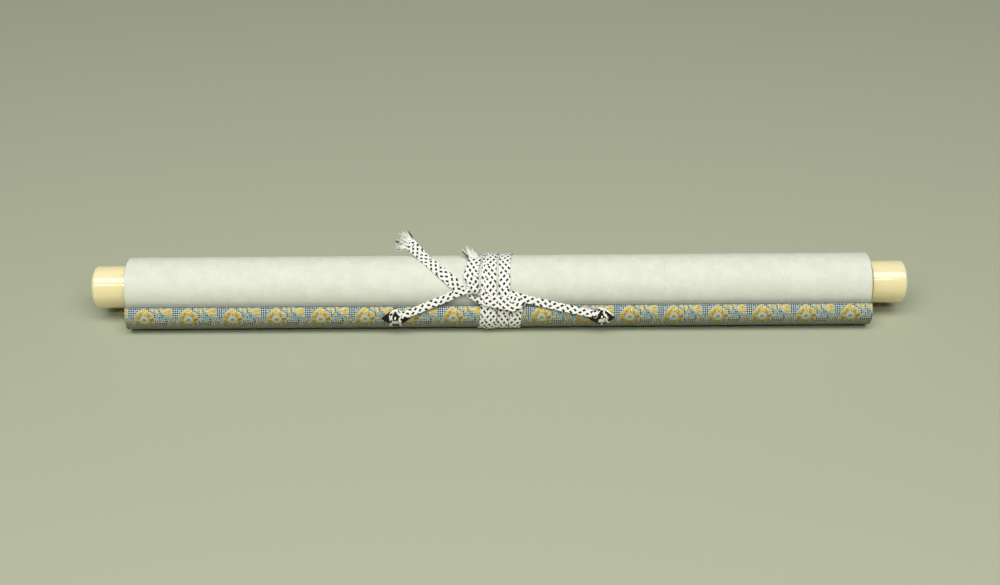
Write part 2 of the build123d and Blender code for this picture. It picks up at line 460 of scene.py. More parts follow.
@dataclass
class BoundOutline:
    """The line of a cord pulled tight round the roll, the rod and the cord beneath it.

    The support of the outline in a direction is the largest of centre times direction plus
    radius over the rounds. Control points are where neighbouring tangents meet, so a smooth
    spline through them touches each tangent.
    """

    roll_radius: float = 22.244
    strap: tuple[tuple[float, float], ...] = ((-2.8, 22.8), (-10.4, 22.8))
    margin: float = 0.46
    per_turn: int = 18

    def rounds(self) -> np.ndarray:
        """Centre forward, centre up and radius of each round, in millimetres."""
        rod = np.array([*ROD.middle(), ROD.radius]) / MM
        corners = [
            (np.cos(FACING) * out - np.sin(FACING) * up, np.sin(FACING) * out + np.cos(FACING) * up, 0.0)
            for up, out in self.strap
        ]
        return np.array([(0.0, 0.0, self.roll_radius), rod, *corners])

    def support(self, angle: np.ndarray, lift: np.ndarray) -> np.ndarray:
        """How far the outline reaches in each direction."""
        rounds = self.rounds()
        reach = np.outer(np.cos(angle), rounds[:, 0]) + np.outer(np.sin(angle), rounds[:, 1]) + rounds[:, 2]
        return reach.max(axis=1) + self.margin + lift

    def wind(self, passes: list["Pass"], width: float) -> Ribbon:
        """The turns through the passes, evenly spaced in direction.

        Args:
            passes: Where the cord crosses, in order.
            width: The cord's width in millimetres.

        Returns:
            Control points and half-width vectors, in metres.
        """
        step = 360 / self.per_turn
        angles = np.arange(passes[0].angle, passes[-1].angle + step / 2, step)
        known = [p.angle for p in passes]
        middles = angles[:-1] + step / 2
        x = np.interp(middles, known, [p.x for p in passes])
        tilt = np.radians(np.interp(middles, known, [p.tilt for p in passes]))
        lift = np.interp(angles, known, [p.lift for p in passes])
        turn = np.radians(angles)
        reach = self.support(turn, lift)
        first, second = turn[:-1], turn[1:]
        spin = np.sin(second - first)
        forward = (reach[:-1] * np.sin(second) - reach[1:] * np.sin(first)) / spin
        height = (reach[1:] * np.cos(first) - reach[:-1] * np.cos(second)) / spin
        middle = AXIS + np.stack([x - AXIS[0] / MM, -forward, height], axis=1) * MM
        face = np.radians(middles)
        normal = np.stack([0 * face, -np.cos(face), np.sin(face)], axis=1)
        travel = unit(np.gradient(middle, axis=0))
        across = unit(np.cross(travel, normal))
        across = across * np.cos(tilt)[:, None] - normal * np.sin(tilt)[:, None]
        return Ribbon(middle, across * width * MM / 2)


@dataclass(frozen=True)
class Pass:
    """Where a turn of the binding cord lies in one direction from the roll.

    angle counts on from turn to turn, 0 at the front and 90 on top, x is the place along the
    roller, lift what it lies on and tilt how far its right edge drops, in degrees.
    """

    angle: float
    x: float
    lift: float = 0.0
    tilt: float = 0.0


@dataclass(frozen=True)
class Tuft:
    """A bundle of loose yarn in the cords' drawing, in millimetres.

    Strands start between first and last, go along run, turn off by bend and differ by spread.
    Where on_rod is set, the third number of first, last, run and bend counts from the cloth.
    """

    first: tuple[float, float, float]
    last: tuple[float, float, float]
    run: tuple[float, float, float]
    bend: tuple[float, float, float] = (0.0, 0.0, 0.0)
    count: int = 24
    spread: float = 0.6
    radius: float = 0.11
    on_rod: bool = False


class Yarn:
    """Loose strands, built as one mesh of thin tubes that narrow to their tips."""

    RINGS = 12
    SIDES = 5
    ROD_UP, ROD_OUT, ROD_RADIUS = -20.06, 9.40, 11.3
    SCATTER = 0.12  # of the roots, in millimetres
    REACH = (0.68, 1.06)  # shares of the run, from strand to strand
    BENDING = (0.6, 1.3)  # shares of the bend
    BEND_SPREAD = 0.8  # share of the spread
    WAVES = (0.5, 1.4)  # along a strand
    WAVE_SHARE = 0.35  # share of the spread
    NARROWING = 0.6  # share of the radius lost at the tip
    GIRTH = (0.75, 1.2)  # shares of the radius

    @classmethod
    def lines(cls, tuft: Tuft, draw: np.random.Generator) -> tuple[np.ndarray, np.ndarray]:
        """The strands' points and radii.

        Point = start + run t + bend t squared + a wave that grows with t, radius falls with the
        square of t, and t goes from 0 at the root to 1 at the tip.

        Args:
            tuft: The bundle.
            draw: Where the random draws come from.

        Returns:
            Points by strand and ring in metres, and radii in metres.
        """
        count = tuft.count
        t = np.linspace(0, 1, cls.RINGS)[None, :, None]
        share = ((np.arange(count) + draw.random(count)) / count)[:, None]
        start = np.array(tuft.first) + (np.array(tuft.last) - np.array(tuft.first)) * share
        start = start + draw.normal(0, cls.SCATTER, (count, 3))

        def varied(value: tuple[float, float, float], shares: tuple[float, float], spread: float) -> np.ndarray:
            """The value for each strand: a random share of it, and a random part of its own."""
            return np.array(value) * draw.uniform(*shares, (count, 1)) + draw.normal(0, spread, (count, 3))

        run = varied(tuft.run, cls.REACH, tuft.spread)
        bend = varied(tuft.bend, cls.BENDING, tuft.spread * cls.BEND_SPREAD)
        phase = draw.uniform(0, 2 * np.pi, (count, 1, 3))
        wave = np.sin(2 * np.pi * t * draw.uniform(*cls.WAVES, (count, 1, 1)) + phase) - np.sin(phase)
        points = start[:, None] + run[:, None] * t + bend[:, None] * t**2 + wave * t * tuft.spread * cls.WAVE_SHARE
        if tuft.on_rod:
            above = np.clip(points[..., 1] - cls.ROD_UP, -0.97 * cls.ROD_RADIUS, None)
            cloth = cls.ROD_OUT + np.sqrt(np.maximum(cls.ROD_RADIUS**2 - above**2, 0.0))
            points[..., 2] = cloth + np.maximum(points[..., 2], 0.05)
        radius = tuft.radius * MM * (1 - cls.NARROWING * t[..., 0] ** 2) * draw.uniform(*cls.GIRTH, (count, 1))
        return drawn(points), radius

    @classmethod
    def build(cls, name: str, tufts: tuple[Tuft, ...], material: Material, seed: int) -> Piece:
        """Builds all strands of some bundles: rings square to each strand, closed at both ends."""
        draw = np.random.default_rng(seed)
        pairs = [cls.lines(tuft, draw) for tuft in tufts]
        lines = np.concatenate([p[0] for p in pairs])
        radius = np.concatenate([p[1] for p in pairs])[..., None, None]
        travel = unit(np.gradient(lines, axis=1))
        side = unit(np.cross(travel, np.array([0.31, 0.87, 0.39])))
        other = np.cross(travel, side)
        turn = 2 * np.pi * np.arange(cls.SIDES)[:, None] / cls.SIDES
        rings = lines[:, :, None] + radius * (np.cos(turn) * side[:, :, None] + np.sin(turn) * other[:, :, None])
        strands, each = len(lines), cls.RINGS * cls.SIDES
        points = np.vstack([rings.reshape(-1, 3), lines[:, 0], lines[:, -1]])
        first = np.arange(strands) * each
        root = strands * each + np.arange(strands)
        quads = (MeshPiece.grid(cls.RINGS, cls.SIDES)[None] + first[:, None, None]).reshape(-1, 4)
        start = MeshPiece.fan(root, first, cls.SIDES, True)
        end = MeshPiece.fan(root + strands, first + each - cls.SIDES, cls.SIDES)
        piece = MeshPiece.build(name, points, [quads[:, ::-1], start, end])
        MeshPiece.dress(piece, material, "braid")
        return piece


@dataclass(frozen=True)
class EyeletDressing:
    """What lies at an eyelet: the cord's loop over the ring, and its loose ends on the cloth."""

    side: Side
    loop: tuple[Station, ...]
    through: Tuft
    tufts: tuple[Tuft, ...]

    def build(self, material: Material, loose: Material) -> list[Piece]:
        """Builds the loop and the loose ends."""
        name = self.side.value
        braid = FlatBraid(thickness=1.3 * MM, step=0.35 * MM, around=28, squareness=0.8)
        loop = braid.build(f"{name}_cord_loop", Ribbon.through(list(self.loop)).smoothed(braid.step))
        MeshPiece.dress(loop, material, "braid")
        tufts = (self.through, *(replace(tuft, on_rod=True) for tuft in self.tufts))
        yarn = Yarn.build(f"{name}_cord_end", tufts, loose, 40 + self.side.sign)
        LOG.info("%s, %s", loop.name, yarn.name)
        return [loop, yarn]


@dataclass(frozen=True)
class LozengePlate:
    """A thin lozenge plate bent to the rod's round: a sunk field, a raised rim and a bevelled edge.

    A point at a share r of the way out stands at half-length times r cos and half-height times
    r sin along the round, over a superellipse, and its height follows the profile. UV holds r
    and the turn in half circles, which the finish reads for the rim.
    """

    side: Side
    half_length: float = 10.5 * MM
    half_height: float = 7.8 * MM
    power: float = 1.1
    lift: float = 0.05 * MM
    turn: float = 12.093
    profile: tuple[tuple[float, float], ...] = (
        (0.12, 0.3),
        (0.3, 0.3),
        (0.5, 0.3),
        (0.66, 0.3),
        (0.72, 0.31),
        (0.78, 0.4),
        (0.84, 0.42),
        (0.9, 0.4),
        (0.95, 0.3),
        (0.985, 0.16),
        (1.0, 0.0),
    )
    around: int = 120
    wear: float = 0.03
    wear_length: float = 2 * MM

    def build(self, material: Material) -> None:
        """Builds the plate in place of the CAD node."""
        node = f"{self.side.value}_eyelet_plate"
        low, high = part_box(node)
        middle = (low[0] + high[0]) / 2
        angle = 2 * np.pi * (np.arange(self.around) + 0.5) / self.around
        edge = (np.abs(np.cos(angle)) ** self.power + np.abs(np.sin(angle)) ** self.power) ** (-1 / self.power)
        reach, height = np.array(self.profile).T
        along = np.outer(reach, edge * np.cos(angle)) * self.half_length
        up = np.outer(reach, edge * np.sin(angle)) * self.half_height
        wear = self.wear * waves(61 + self.side.sign, 12, 0.8, 3.0, along / self.wear_length, up / self.wear_length)
        above = (height[:, None] + wear * (height > 0)[:, None]) * MM
        lower = np.stack([along[::4], up[::4], 0 * up[::4]])[:, ::-1]
        along, up, above = (np.vstack([a, b[1:]]) for a, b in zip((along, up, above), lower))
        along, up, above = (np.vstack([a, 0 * a[:1]]) for a in (along, up, above))
        under = ROD.radius + self.lift
        face = np.radians(self.turn) + up / under
        forward, rise = ROD.middle()
        y = AXIS[1] - forward - (under + above) * np.cos(face)
        z = AXIS[2] + rise + (under + above) * np.sin(face)
        points = np.stack([middle + along, y, z], axis=-1)
        share = np.concatenate([reach, reach[::4][::-1][1:]])
        uv_points = np.stack([share[:, None] + 0 * along[:-1], angle / np.pi + 0 * along[:-1]], axis=-1)
        uv_points = np.vstack([uv_points.reshape(-1, 2), [[0, 0], [0, 0]]])
        flat, faces = MeshPiece.tube(points[:-1], (points[0].mean(axis=0), points[-1, 0]))
        piece = MeshPiece.build(f"{self.side.value}_lozenge", flat, faces, [uv_points[f] for f in faces])
        MeshPiece.dress(piece, material, "dark_metal")
        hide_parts(node)
        LOG.info("%s", piece.name)


@dataclass
class HangingCord:
    """The braid from eyelet to eyelet, under the binding cord's turns."""

    braid: FlatBraid = field(default_factory=FlatBraid)
    route: tuple[Station, ...] = (
        Station(-73.2, -23.2, 22.6, -12, 3.4),
        Station(-69.5, -22.0, 22.9, -6, 5.0),
        Station(-62.0, -19.3, 23.1, -3, 5.8),
        Station(-51.3, -14.8, 23.2, -3, 5.8),
        Station(-40.6, -10.7, 23.5, -3, 5.8),
        Station(-33.2, -7.1, 24.0, -3, 5.8),
        Station(-25.7, -4.4, 24.1, -3, 5.6),
        Station(-20.6, -4.3, 23.3, 0, 5.0),
        Station(-15.6, -5.5, 22.3, 0, 5.4),
        Station(-6.0, -5.9, 22.2, 0, 5.8),
        Station(2.0, -6.4, 22.2, 0, 5.8),
        Station(8.4, -7.5, 22.2, 0, 5.8),
        Station(18.9, -11.0, 22.6, -3, 5.8),
        Station(33.8, -14.5, 22.8, -3, 5.8),
        Station(44.9, -17.1, 22.9, -3, 5.8),
        Station(56.1, -19.6, 23.0, -3, 5.8),
        Station(64.0, -21.2, 23.0, -3, 5.8),
        Station(68.2, -22.2, 22.9, -6, 5.0),
        Station(71.4, -23.0, 22.6, -12, 3.4),
    )
    dressings: tuple[EyeletDressing, ...] = (
        EyeletDressing(
            Side.LEFT,
            loop=(
                Station(-78.6, -27.4, 20.6, -50, 2.0),
                Station(-79.2, -25.0, 22.0, -30, 2.4),
                Station(-78.9, -21.8, 23.4, -12, 2.7),
                Station(-77.6, -19.6, 24.0, -5, 2.8),
                Station(-75.2, -18.9, 24.0, -5, 2.8),
                Station(-73.0, -20.2, 24.0, -5, 2.8),
                Station(-72.2, -23.4, 23.6, -12, 2.5),
                Station(-72.6, -27.0, 21.8, -40, 2.0),
            ),
            through=Tuft((-76.4, -25.2, 22.2), (-75.6, -25.2, 22.2), (0.3, 2.0, 0.4), (0, 0, 0.1), 12, 0.12, 0.22),
            tufts=(
                Tuft((-79.2, -26.6, 1.4), (-78.8, -28.0, 1.4), (7.0, -0.6, 0.1), (0, 0.6, 0), 12, 0.3, 0.26),
                Tuft((-78.9, -27.2, 1.3), (-78.0, -27.6, 1.3), (-1.9, -2.4, 1.2), (0.2, -0.3, 0.1), 18, 0.3, 0.26),
                Tuft((-73.2, -27.4, 1.3), (-72.4, -27.0, 1.3), (0.3, -2.9, 1.3), (0.1, -0.3, 0.1), 18, 0.3, 0.26),
            ),
        ),
        EyeletDressing(
            Side.RIGHT,
            loop=(
                Station(68.8, -25.0, 22.6, -30, 2.0),
                Station(70.0, -22.8, 23.3, -14, 2.3),
                Station(71.6, -19.8, 24.0, -5, 2.5),
                Station(73.4, -17.6, 24.2, -5, 2.6),
                Station(75.0, -19.4, 24.1, -5, 2.5),
                Station(76.4, -22.4, 23.4, -12, 2.4),
                Station(77.4, -25.4, 22.3, -30, 2.0),
            ),
            through=Tuft((73.8, -25.2, 22.2), (74.6, -25.2, 22.2), (-0.1, 1.8, 0.4), (0, 0, 0.1), 10, 0.12, 0.18),
            tufts=(
                Tuft((72.4, -26.0, 1.6), (78.0, -25.2, 1.4), (0.3, -2.4, 1.9), (0.1, -0.2, 0.2), 40, 0.35, 0.26),
                Tuft((75.4, -24.6, 1.8), (78.2, -24.2, 1.6), (0.0, -2.0, 2.2), (0.1, -0.1, 0.3), 22, 0.35, 0.25),
                Tuft((73.6, -28.0, 1.2), (74.6, -28.2, 1.2), (0.4, -2.0, 1.4), (-0.2, -0.2, 0.1), 14, 0.25, 0.25),
                Tuft((77.0, -27.4, 1.2), (78.4, -27.2, 1.2), (1.4, -1.5, 1.4), (0.3, 0.2, 0.1), 14, 0.25, 0.25),
            ),
        ),
    )

    def build(self, material: Material, loose: Material) -> None:
        pieces = [piece for dressing in self.dressings for piece in dressing.build(material, loose)]
        ribbon = Ribbon.through(list(self.route)).smoothed(self.braid.step)
        piece = self.braid.build("hanging_braid", ribbon)
        MeshPiece.dress(piece, material, "braid")
        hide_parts("hanging_cord")
        ribbon.length()
        LOG.info("hanging braid, %.0f mm", ribbon.length() / MM)


@dataclass(frozen=True)
class ShortEnd:
    """The binding cord's short end, up from its knot on the hanging cord, with its yarn loose."""

    route: tuple[Station, ...] = (
        Station(-18.6, -2.2, 22.4, -30, 3.8),
        Station(-18.9, 0.1, 24.0, 0, 4.6),
        Station(-19.6, 2.6, 24.1, 6, 7.0),
        Station(-21.1, 5.9, 23.4, 14, 11.6),
        Station(-20.2, 9.8, 22.0, 24, 9.6),
        Station(-19.2, 14.0, 19.6, 36, 9.2),
        Station(-18.5, 17.4, 16.7, 46, 9.4),
        Station(-18.2, 19.6, 13.9, 55, 9.8),
    )
    wrap: tuple[Station, ...] = (
        Station(-19.0, 0.6, 23.2, 75, 4.4),
        Station(-18.7, -0.6, 25.2, 40, 5.4),
        Station(-18.1, -3.2, 26.4, 0, 6.0),
        Station(-17.9, -6.2, 25.4, -30, 5.4),
        Station(-17.9, -7.4, 23.4, -70, 4.0),
    )
    white: tuple[Tuft, ...] = (
        Tuft((-22.6, 19.4, 14.0), (-21.9, 19.6, 14.0), (-5.4, 6.9, -6.0), (0.2, 0.4, -1.0), 8, 0.2, 0.14),
        Tuft((-21.4, 19.2, 14.2), (-20.2, 19.4, 14.2), (-4.0, 8.2, -6.2), (0.4, 0.4, -1.2), 12, 0.26, 0.2),
        Tuft((-19.7, 19.2, 14.2), (-18.3, 19.4, 14.2), (-4.2, 7.4, -6.4), (0.2, 0.3, -1.0), 13, 0.26, 0.2),
        Tuft((-17.9, 19.4, 14.2), (-16.8, 19.4, 14.2), (-3.7, 8.0, -6.6), (0.2, 0.3, -1.0), 11, 0.26, 0.2),
        Tuft((-16.2, 19.4, 14.2), (-14.8, 19.4, 14.2), (-3.0, 4.6, -5.0), (0.0, 0.1, -0.8), 12, 0.22, 0.2),
    )
    green: tuple[Tuft, ...] = (
        Tuft((-23.0, 20.0, 14.0), (-22.6, 20.0, 14.0), (-4.2, 4.1, -3.0), (0, 0.1, -0.3), 16, 0.12, 0.27),
    )
    taper: float = 1.2 * MM

    def build(
        self,
        material: Material,
        loose: Material,
        tinted: Material,
    ) -> list[Piece]:
        """Builds the braid, the turn that holds it, and the loose yarn above it."""
        braid = FlatBraid()
        pieces = []
        for name, stations in (("short_end", self.route), ("knot_wrap", self.wrap)):
            piece = braid.build(name, Ribbon.through(list(stations)).smoothed(braid.step), taper=self.taper)
            MeshPiece.dress(piece, material, "braid")
            pieces.append(piece)
        pieces.append(Yarn.build("short_end_yarn", self.white, loose, 51))
        pieces.append(Yarn.build("short_end_thread", self.green, tinted, 52))
        LOG.info("short end, %d pieces", len(pieces))
        return pieces


@dataclass(frozen=True)
class TailBrush:
    """The binding cord's free end, frayed to a brush in three lobes with a few dark threads."""

    white: tuple[Tuft, ...] = (
        Tuft((-69.3, 27.5, 0.9), (-68.0, 29.4, 0.9), (-7.5, -1.0, -1.2), (-0.4, -0.2, -0.6), 80, 0.85, 0.23),
        Tuft((-68.4, 28.8, 0.9), (-66.6, 31.2, 0.8), (-7.7, 2.0, -1.8), (-0.4, 0.1, -0.9), 66, 0.85, 0.23),
        Tuft((-66.6, 31.0, 0.8), (-64.7, 33.6, 0.6), (-5.7, 5.9, -3.0), (-0.4, 0.2, -1.2), 56, 0.85, 0.23),
        Tuft((-68.9, 28.0, 1.0), (-64.8, 33.5, 0.8), (-5.0, 2.6, -0.6), (-0.3, 0.3, -0.4), 44, 1.0, 0.25),
    )
    dark: tuple[Tuft, ...] = (
        Tuft((-64.9, 35.2, 0.4), (-64.5, 35.6, 0.3), (-3.0, 4.7, -2.6), (-0.3, 0.4, -0.4), 6, 0.12, 0.24),
        Tuft((-67.4, 28.2, 1.6), (-67.2, 28.6, 1.6), (-2.6, 0.9, -0.3), (0, 0.1, -0.2), 5, 0.12, 0.24),
        Tuft((-74.6, 31.2, 0.4), (-74.4, 32.2, 0.4), (-3.0, 0.5, -0.8), (0, 0.2, -0.2), 9, 0.22, 0.28),
        Tuft((-72.6, 35.4, -1.4), (-72.4, 35.8, -1.4), (-0.8, 1.6, -0.8), (0, 0, 0), 3, 0.1, 0.2),
    )

    def build(self, loose: Material, dark: Material) -> list[Piece]:
        """Builds the pale brush and its dark threads."""
        pieces = [Yarn.build("tail_brush", self.white, loose, 71), Yarn.build("tail_threads", self.dark, dark, 72)]
        LOG.info("tail brush, %d faces", sum(len(piece.data.polygons) for piece in pieces))
        return pieces


@dataclass
class BindingCord:
    """The braid that is wound round the roll and tucked under the hanging cord."""

    braid: FlatBraid = field(default_factory=FlatBraid)
    outline: BoundOutline = field(default_factory=BoundOutline)
    passes: tuple[Pass, ...] = (
        Pass(30, -19.4, -0.3),
        Pass(90, -19.6, -0.3),
        Pass(180, -17.4, -0.1),
        Pass(270, -13.4),
        Pass(330, -11.2),
        Pass(450, -7.8),
        Pass(630, -5.0),
        Pass(680, -6.4, 0.6, 5),
        Pass(720, -6.5, 0.6, 6),
        Pass(810, -6.3, 0.5, 5),
        Pass(900, -3.0, 0.3, 3),
        Pass(990, 3.4),
        Pass(1050, 1.1),
        Pass(1090, 3.0),
        Pass(1170, 4.0),
        Pass(1350, 12.0),
        Pass(1410, 10.4),
        Pass(1450, 11.4),
    )
    fold: tuple[Station, ...] = (
        Station(12.3, -18.5, 22.9, -9),
        Station(13.9, -14.8, 23.7, -3),
    )
    crease: tuple[float, float, float, float] = (14.7, -11.1, 24.5, 138.0)
    crease_half_widths: tuple[float, ...] = (4.8, 5.6, 5.6, 6.0)
    width: float = 8.5
    tail: tuple[Station, ...] = (
        Station(3.2, -13.9, 26.1, -3, 8.8),
        Station(-4.2, -12.9, 26.1, -3),
        Station(-10.9, -11.9, 25.5, -3, 7.2),
        Station(-14.6, -11.9, 24.5, -8, 4.6),
        Station(-18.4, -10.9, 22.5, -26, 2.7),
        Station(-22.6, -8.1, 21.6, -26, 2.6),
        Station(-27.2, -4.3, 21.9, -12, 5.4),
        Station(-32.1, -0.2, 22.7, 0, 8.5),
        Station(-36.9, 4.2, 22.3, 11, 8.5),
        Station(-40.6, 7.4, 21.3, 19, 8.5),
        Station(-44.3, 10.6, 19.9, 28, 8.5),
        Station(-48.0, 13.7, 17.9, 38, 8.5),
        Station(-51.8, 16.8, 15.1, 46, 8.5),
        Station(-58.8, 22.9, 9.0, 34, 8.7),
        Station(-67.0, 31.0, 0.8, -6, 9.1),
    )

    def folded(self) -> Ribbon:
        """The turn-over: the braid bends about a slanting crease and comes back over itself."""
        x, up, out, slant = self.crease
        slant = np.radians(slant)
        along_crease = -(ALONG * np.cos(slant) + UP * np.sin(slant))
        places = [
            Station(x, up - 0.9, out - 0.5),
            Station(x, up, out + 0.1),
            Station(x - 0.9, up - 0.6, out + 0.9),
            Station(x - 5.2, up - 3.6, out + 1.4),
        ]
        middle = np.array([p.place() for p in places])
        leans = np.array([ALONG * 0.9 - UP * 0.43, along_crease, -UP * 0.85 + ALONG * 0.5, -UP * 0.97 + ALONG * 0.2])
        return Ribbon(middle, unit(leans) * np.array(self.crease_half_widths)[:, None] * MM)

    def ribbon(self) -> Ribbon:
        """The whole cord from its knot to its free end."""
        turns = self.outline.wind(list(self.passes), self.width)
        rising = Ribbon.through([*self.fold, Station(14.7, -12.4, 24.0)])
        rising = Ribbon(rising.middle[:-1], rising.across[:-1])
        tail = Ribbon.through([Station(9.5, -14.7, 25.9), *self.tail], turned_over=True)
        tail = Ribbon(tail.middle[1:], tail.across[1:])
        return turns.joined(rising).joined(self.folded()).joined(tail)

    def build(self, material: Material, loose: Material) -> None:
        green = FrayFinish((0, 84, 60), fuzz=0.0).material("green_thread")
        black = FrayFinish((8, 14, 12), fuzz=0.0).material("dark_thread")
        pieces = ShortEnd().build(material, loose, green) + TailBrush().build(loose, black)
        ribbon = self.ribbon().smoothed(self.braid.step)
        piece = self.braid.build("binding_braid", ribbon)
        MeshPiece.dress(piece, material, "braid")
        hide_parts("binding_cord_turns", "binding_cord_tail", "binding_cord_stub")
        ribbon.length()
        LOG.info("binding braid, %.0f mm", ribbon.length() / MM)


class Graph:
    """A short way to write down a shader's nodes."""

    def __init__(self, tree: Tree) -> None:
        """Keeps the node tree that the nodes go into."""
        self.tree = tree

    def node(self, kind: str, **settings: object) -> Node:
        """Adds one node.

        Args:
            kind: Blender's name of the node's type.
            settings: Values for the node's own properties.

        Returns:
            The node.
        """
        made = self.tree.nodes.new(kind)
        for name, value in settings.items():
            setattr(made, name, value)
        return made

    def put(self, value: object, socket: Socket) -> None:
        """Links an output to a socket, or writes a number or colour on it."""
        if isinstance(value, Socket):
            self.tree.links.new(value, socket)
        else:
            socket.default_value = value

    def math(self, operation: str, *values: object) -> Socket:
        """One step of arithmetic on numbers or outputs."""
        made = self.node("ShaderNodeMath", operation=operation)
        for value, socket in zip(values, made.inputs):
            self.put(value, socket)
        return made.outputs[0]

    def vector(self, operation: str, *values: object) -> Socket:
        """One step of arithmetic on vectors."""
        made = self.node("ShaderNodeVectorMath", operation=operation)
        for value, socket in zip(values, made.inputs):
            self.put(value, socket)
        return made.outputs[0]

    def feed(self, target: Node, **values: object) -> None:
        """Puts each value on the node's input of that name, with _ for a space."""
        for name, value in values.items():
            self.put(value, target.inputs[name.replace("_", " ")])

    def place(self) -> Socket:
        """The place on the part, in metres."""
        return self.node("ShaderNodeTexCoord").outputs["Object"]

    def uv(self) -> Socket:
        """The place on the piece's own UV map."""
        return self.node("ShaderNodeUVMap", uv_map="UVMap").outputs[0]

    def less(self, first: object, second: object) -> Socket:
        """The first value less the second."""
        return self.math("SUBTRACT", first, second)

    def size(self, value: object) -> Socket:
        """The value without its sign."""
        return self.math("ABSOLUTE", value)

    def add(self, *values: object) -> Socket:
        """The sum of two or more values."""
        total = values[0]
        for value in values[1:]:
            total = self.math("ADD", total, value)
        return total

    def times(self, *values: object) -> Socket:
        """The product of two or more values."""
        product = values[0]
        for value in values[1:]:
            product = self.math("MULTIPLY", product, value)
        return product

    def most(self, *values: object) -> Socket:
        """The largest of two or more values."""
        largest = values[0]
        for value in values[1:]:
            largest = self.math("MAXIMUM", largest, value)
        return largest

    def ramp(self, value: object, low: float, high: float, start: float = 0.0, end: float = 1.0) -> Socket:
        """A smooth step from start to end as the value goes from low to high."""
        made = self.node("ShaderNodeMapRange", interpolation_type="SMOOTHSTEP")
        for item, socket in zip((value, low, high, start, end), made.inputs):
            self.put(item, socket)
        return made.outputs[0]

    def mix(self, factor: object, first: object, second: object) -> Socket:
        """One colour that turns into another with the factor."""
        made = self.node("ShaderNodeMix", data_type="RGBA")
        for item, socket in zip((factor, first, second), (made.inputs[0], made.inputs[6], made.inputs[7])):
            self.put(item, socket)
        return made.outputs[2]

    def noise(self, vector: object, scale: object, detail: float = 2.0, roughness: float = 0.5) -> Socket:
        """Smooth noise from 0 to 1, so many cells to the metre."""
        made = self.node("ShaderNodeTexNoise")
        self.feed(made, Vector=vector, Scale=scale, Detail=detail, Roughness=roughness)
        return made.outputs["Fac"]

    def shaken(self, vector: object, scale: float, reach: float) -> Socket:
        """A vector that wanders by up to a reach in its first two parts."""
        drift = self.node("ShaderNodeTexNoise")
        self.feed(drift, Vector=vector, Scale=scale)
        return self.vector("MULTIPLY_ADD", drift.outputs["Color"], (reach, reach, 0.0), vector)

    def split(self, vector: object) -> tuple[Socket, ...]:
        """The x, y and z of a vector."""
        made = self.node("ShaderNodeSeparateXYZ")
        self.put(vector, made.inputs[0])
        return tuple(made.outputs)

    def stretch(self, vector: object, scale: tuple[float, float, float]) -> Socket:
        """A vector with each part scaled by its own factor."""
        made = self.node("ShaderNodeMapping")
        self.feed(made, Vector=vector, Scale=scale)
        return made.outputs[0]

    def group(self, tree: Tree, **values: object) -> Node:
        """Places a shared group with its inputs."""
        made = self.node("ShaderNodeGroup")
        made.node_tree = tree
        self.feed(made, **values)
        return made

    def bump(self, height: object, distance: float, strength: float = 1.0) -> Socket:
        """A normal tilted by a height in shares of the distance, in metres."""
        made = self.node("ShaderNodeBump")
        self.feed(made, Strength=strength, Distance=distance, Height=height)
        return made.outputs[0]


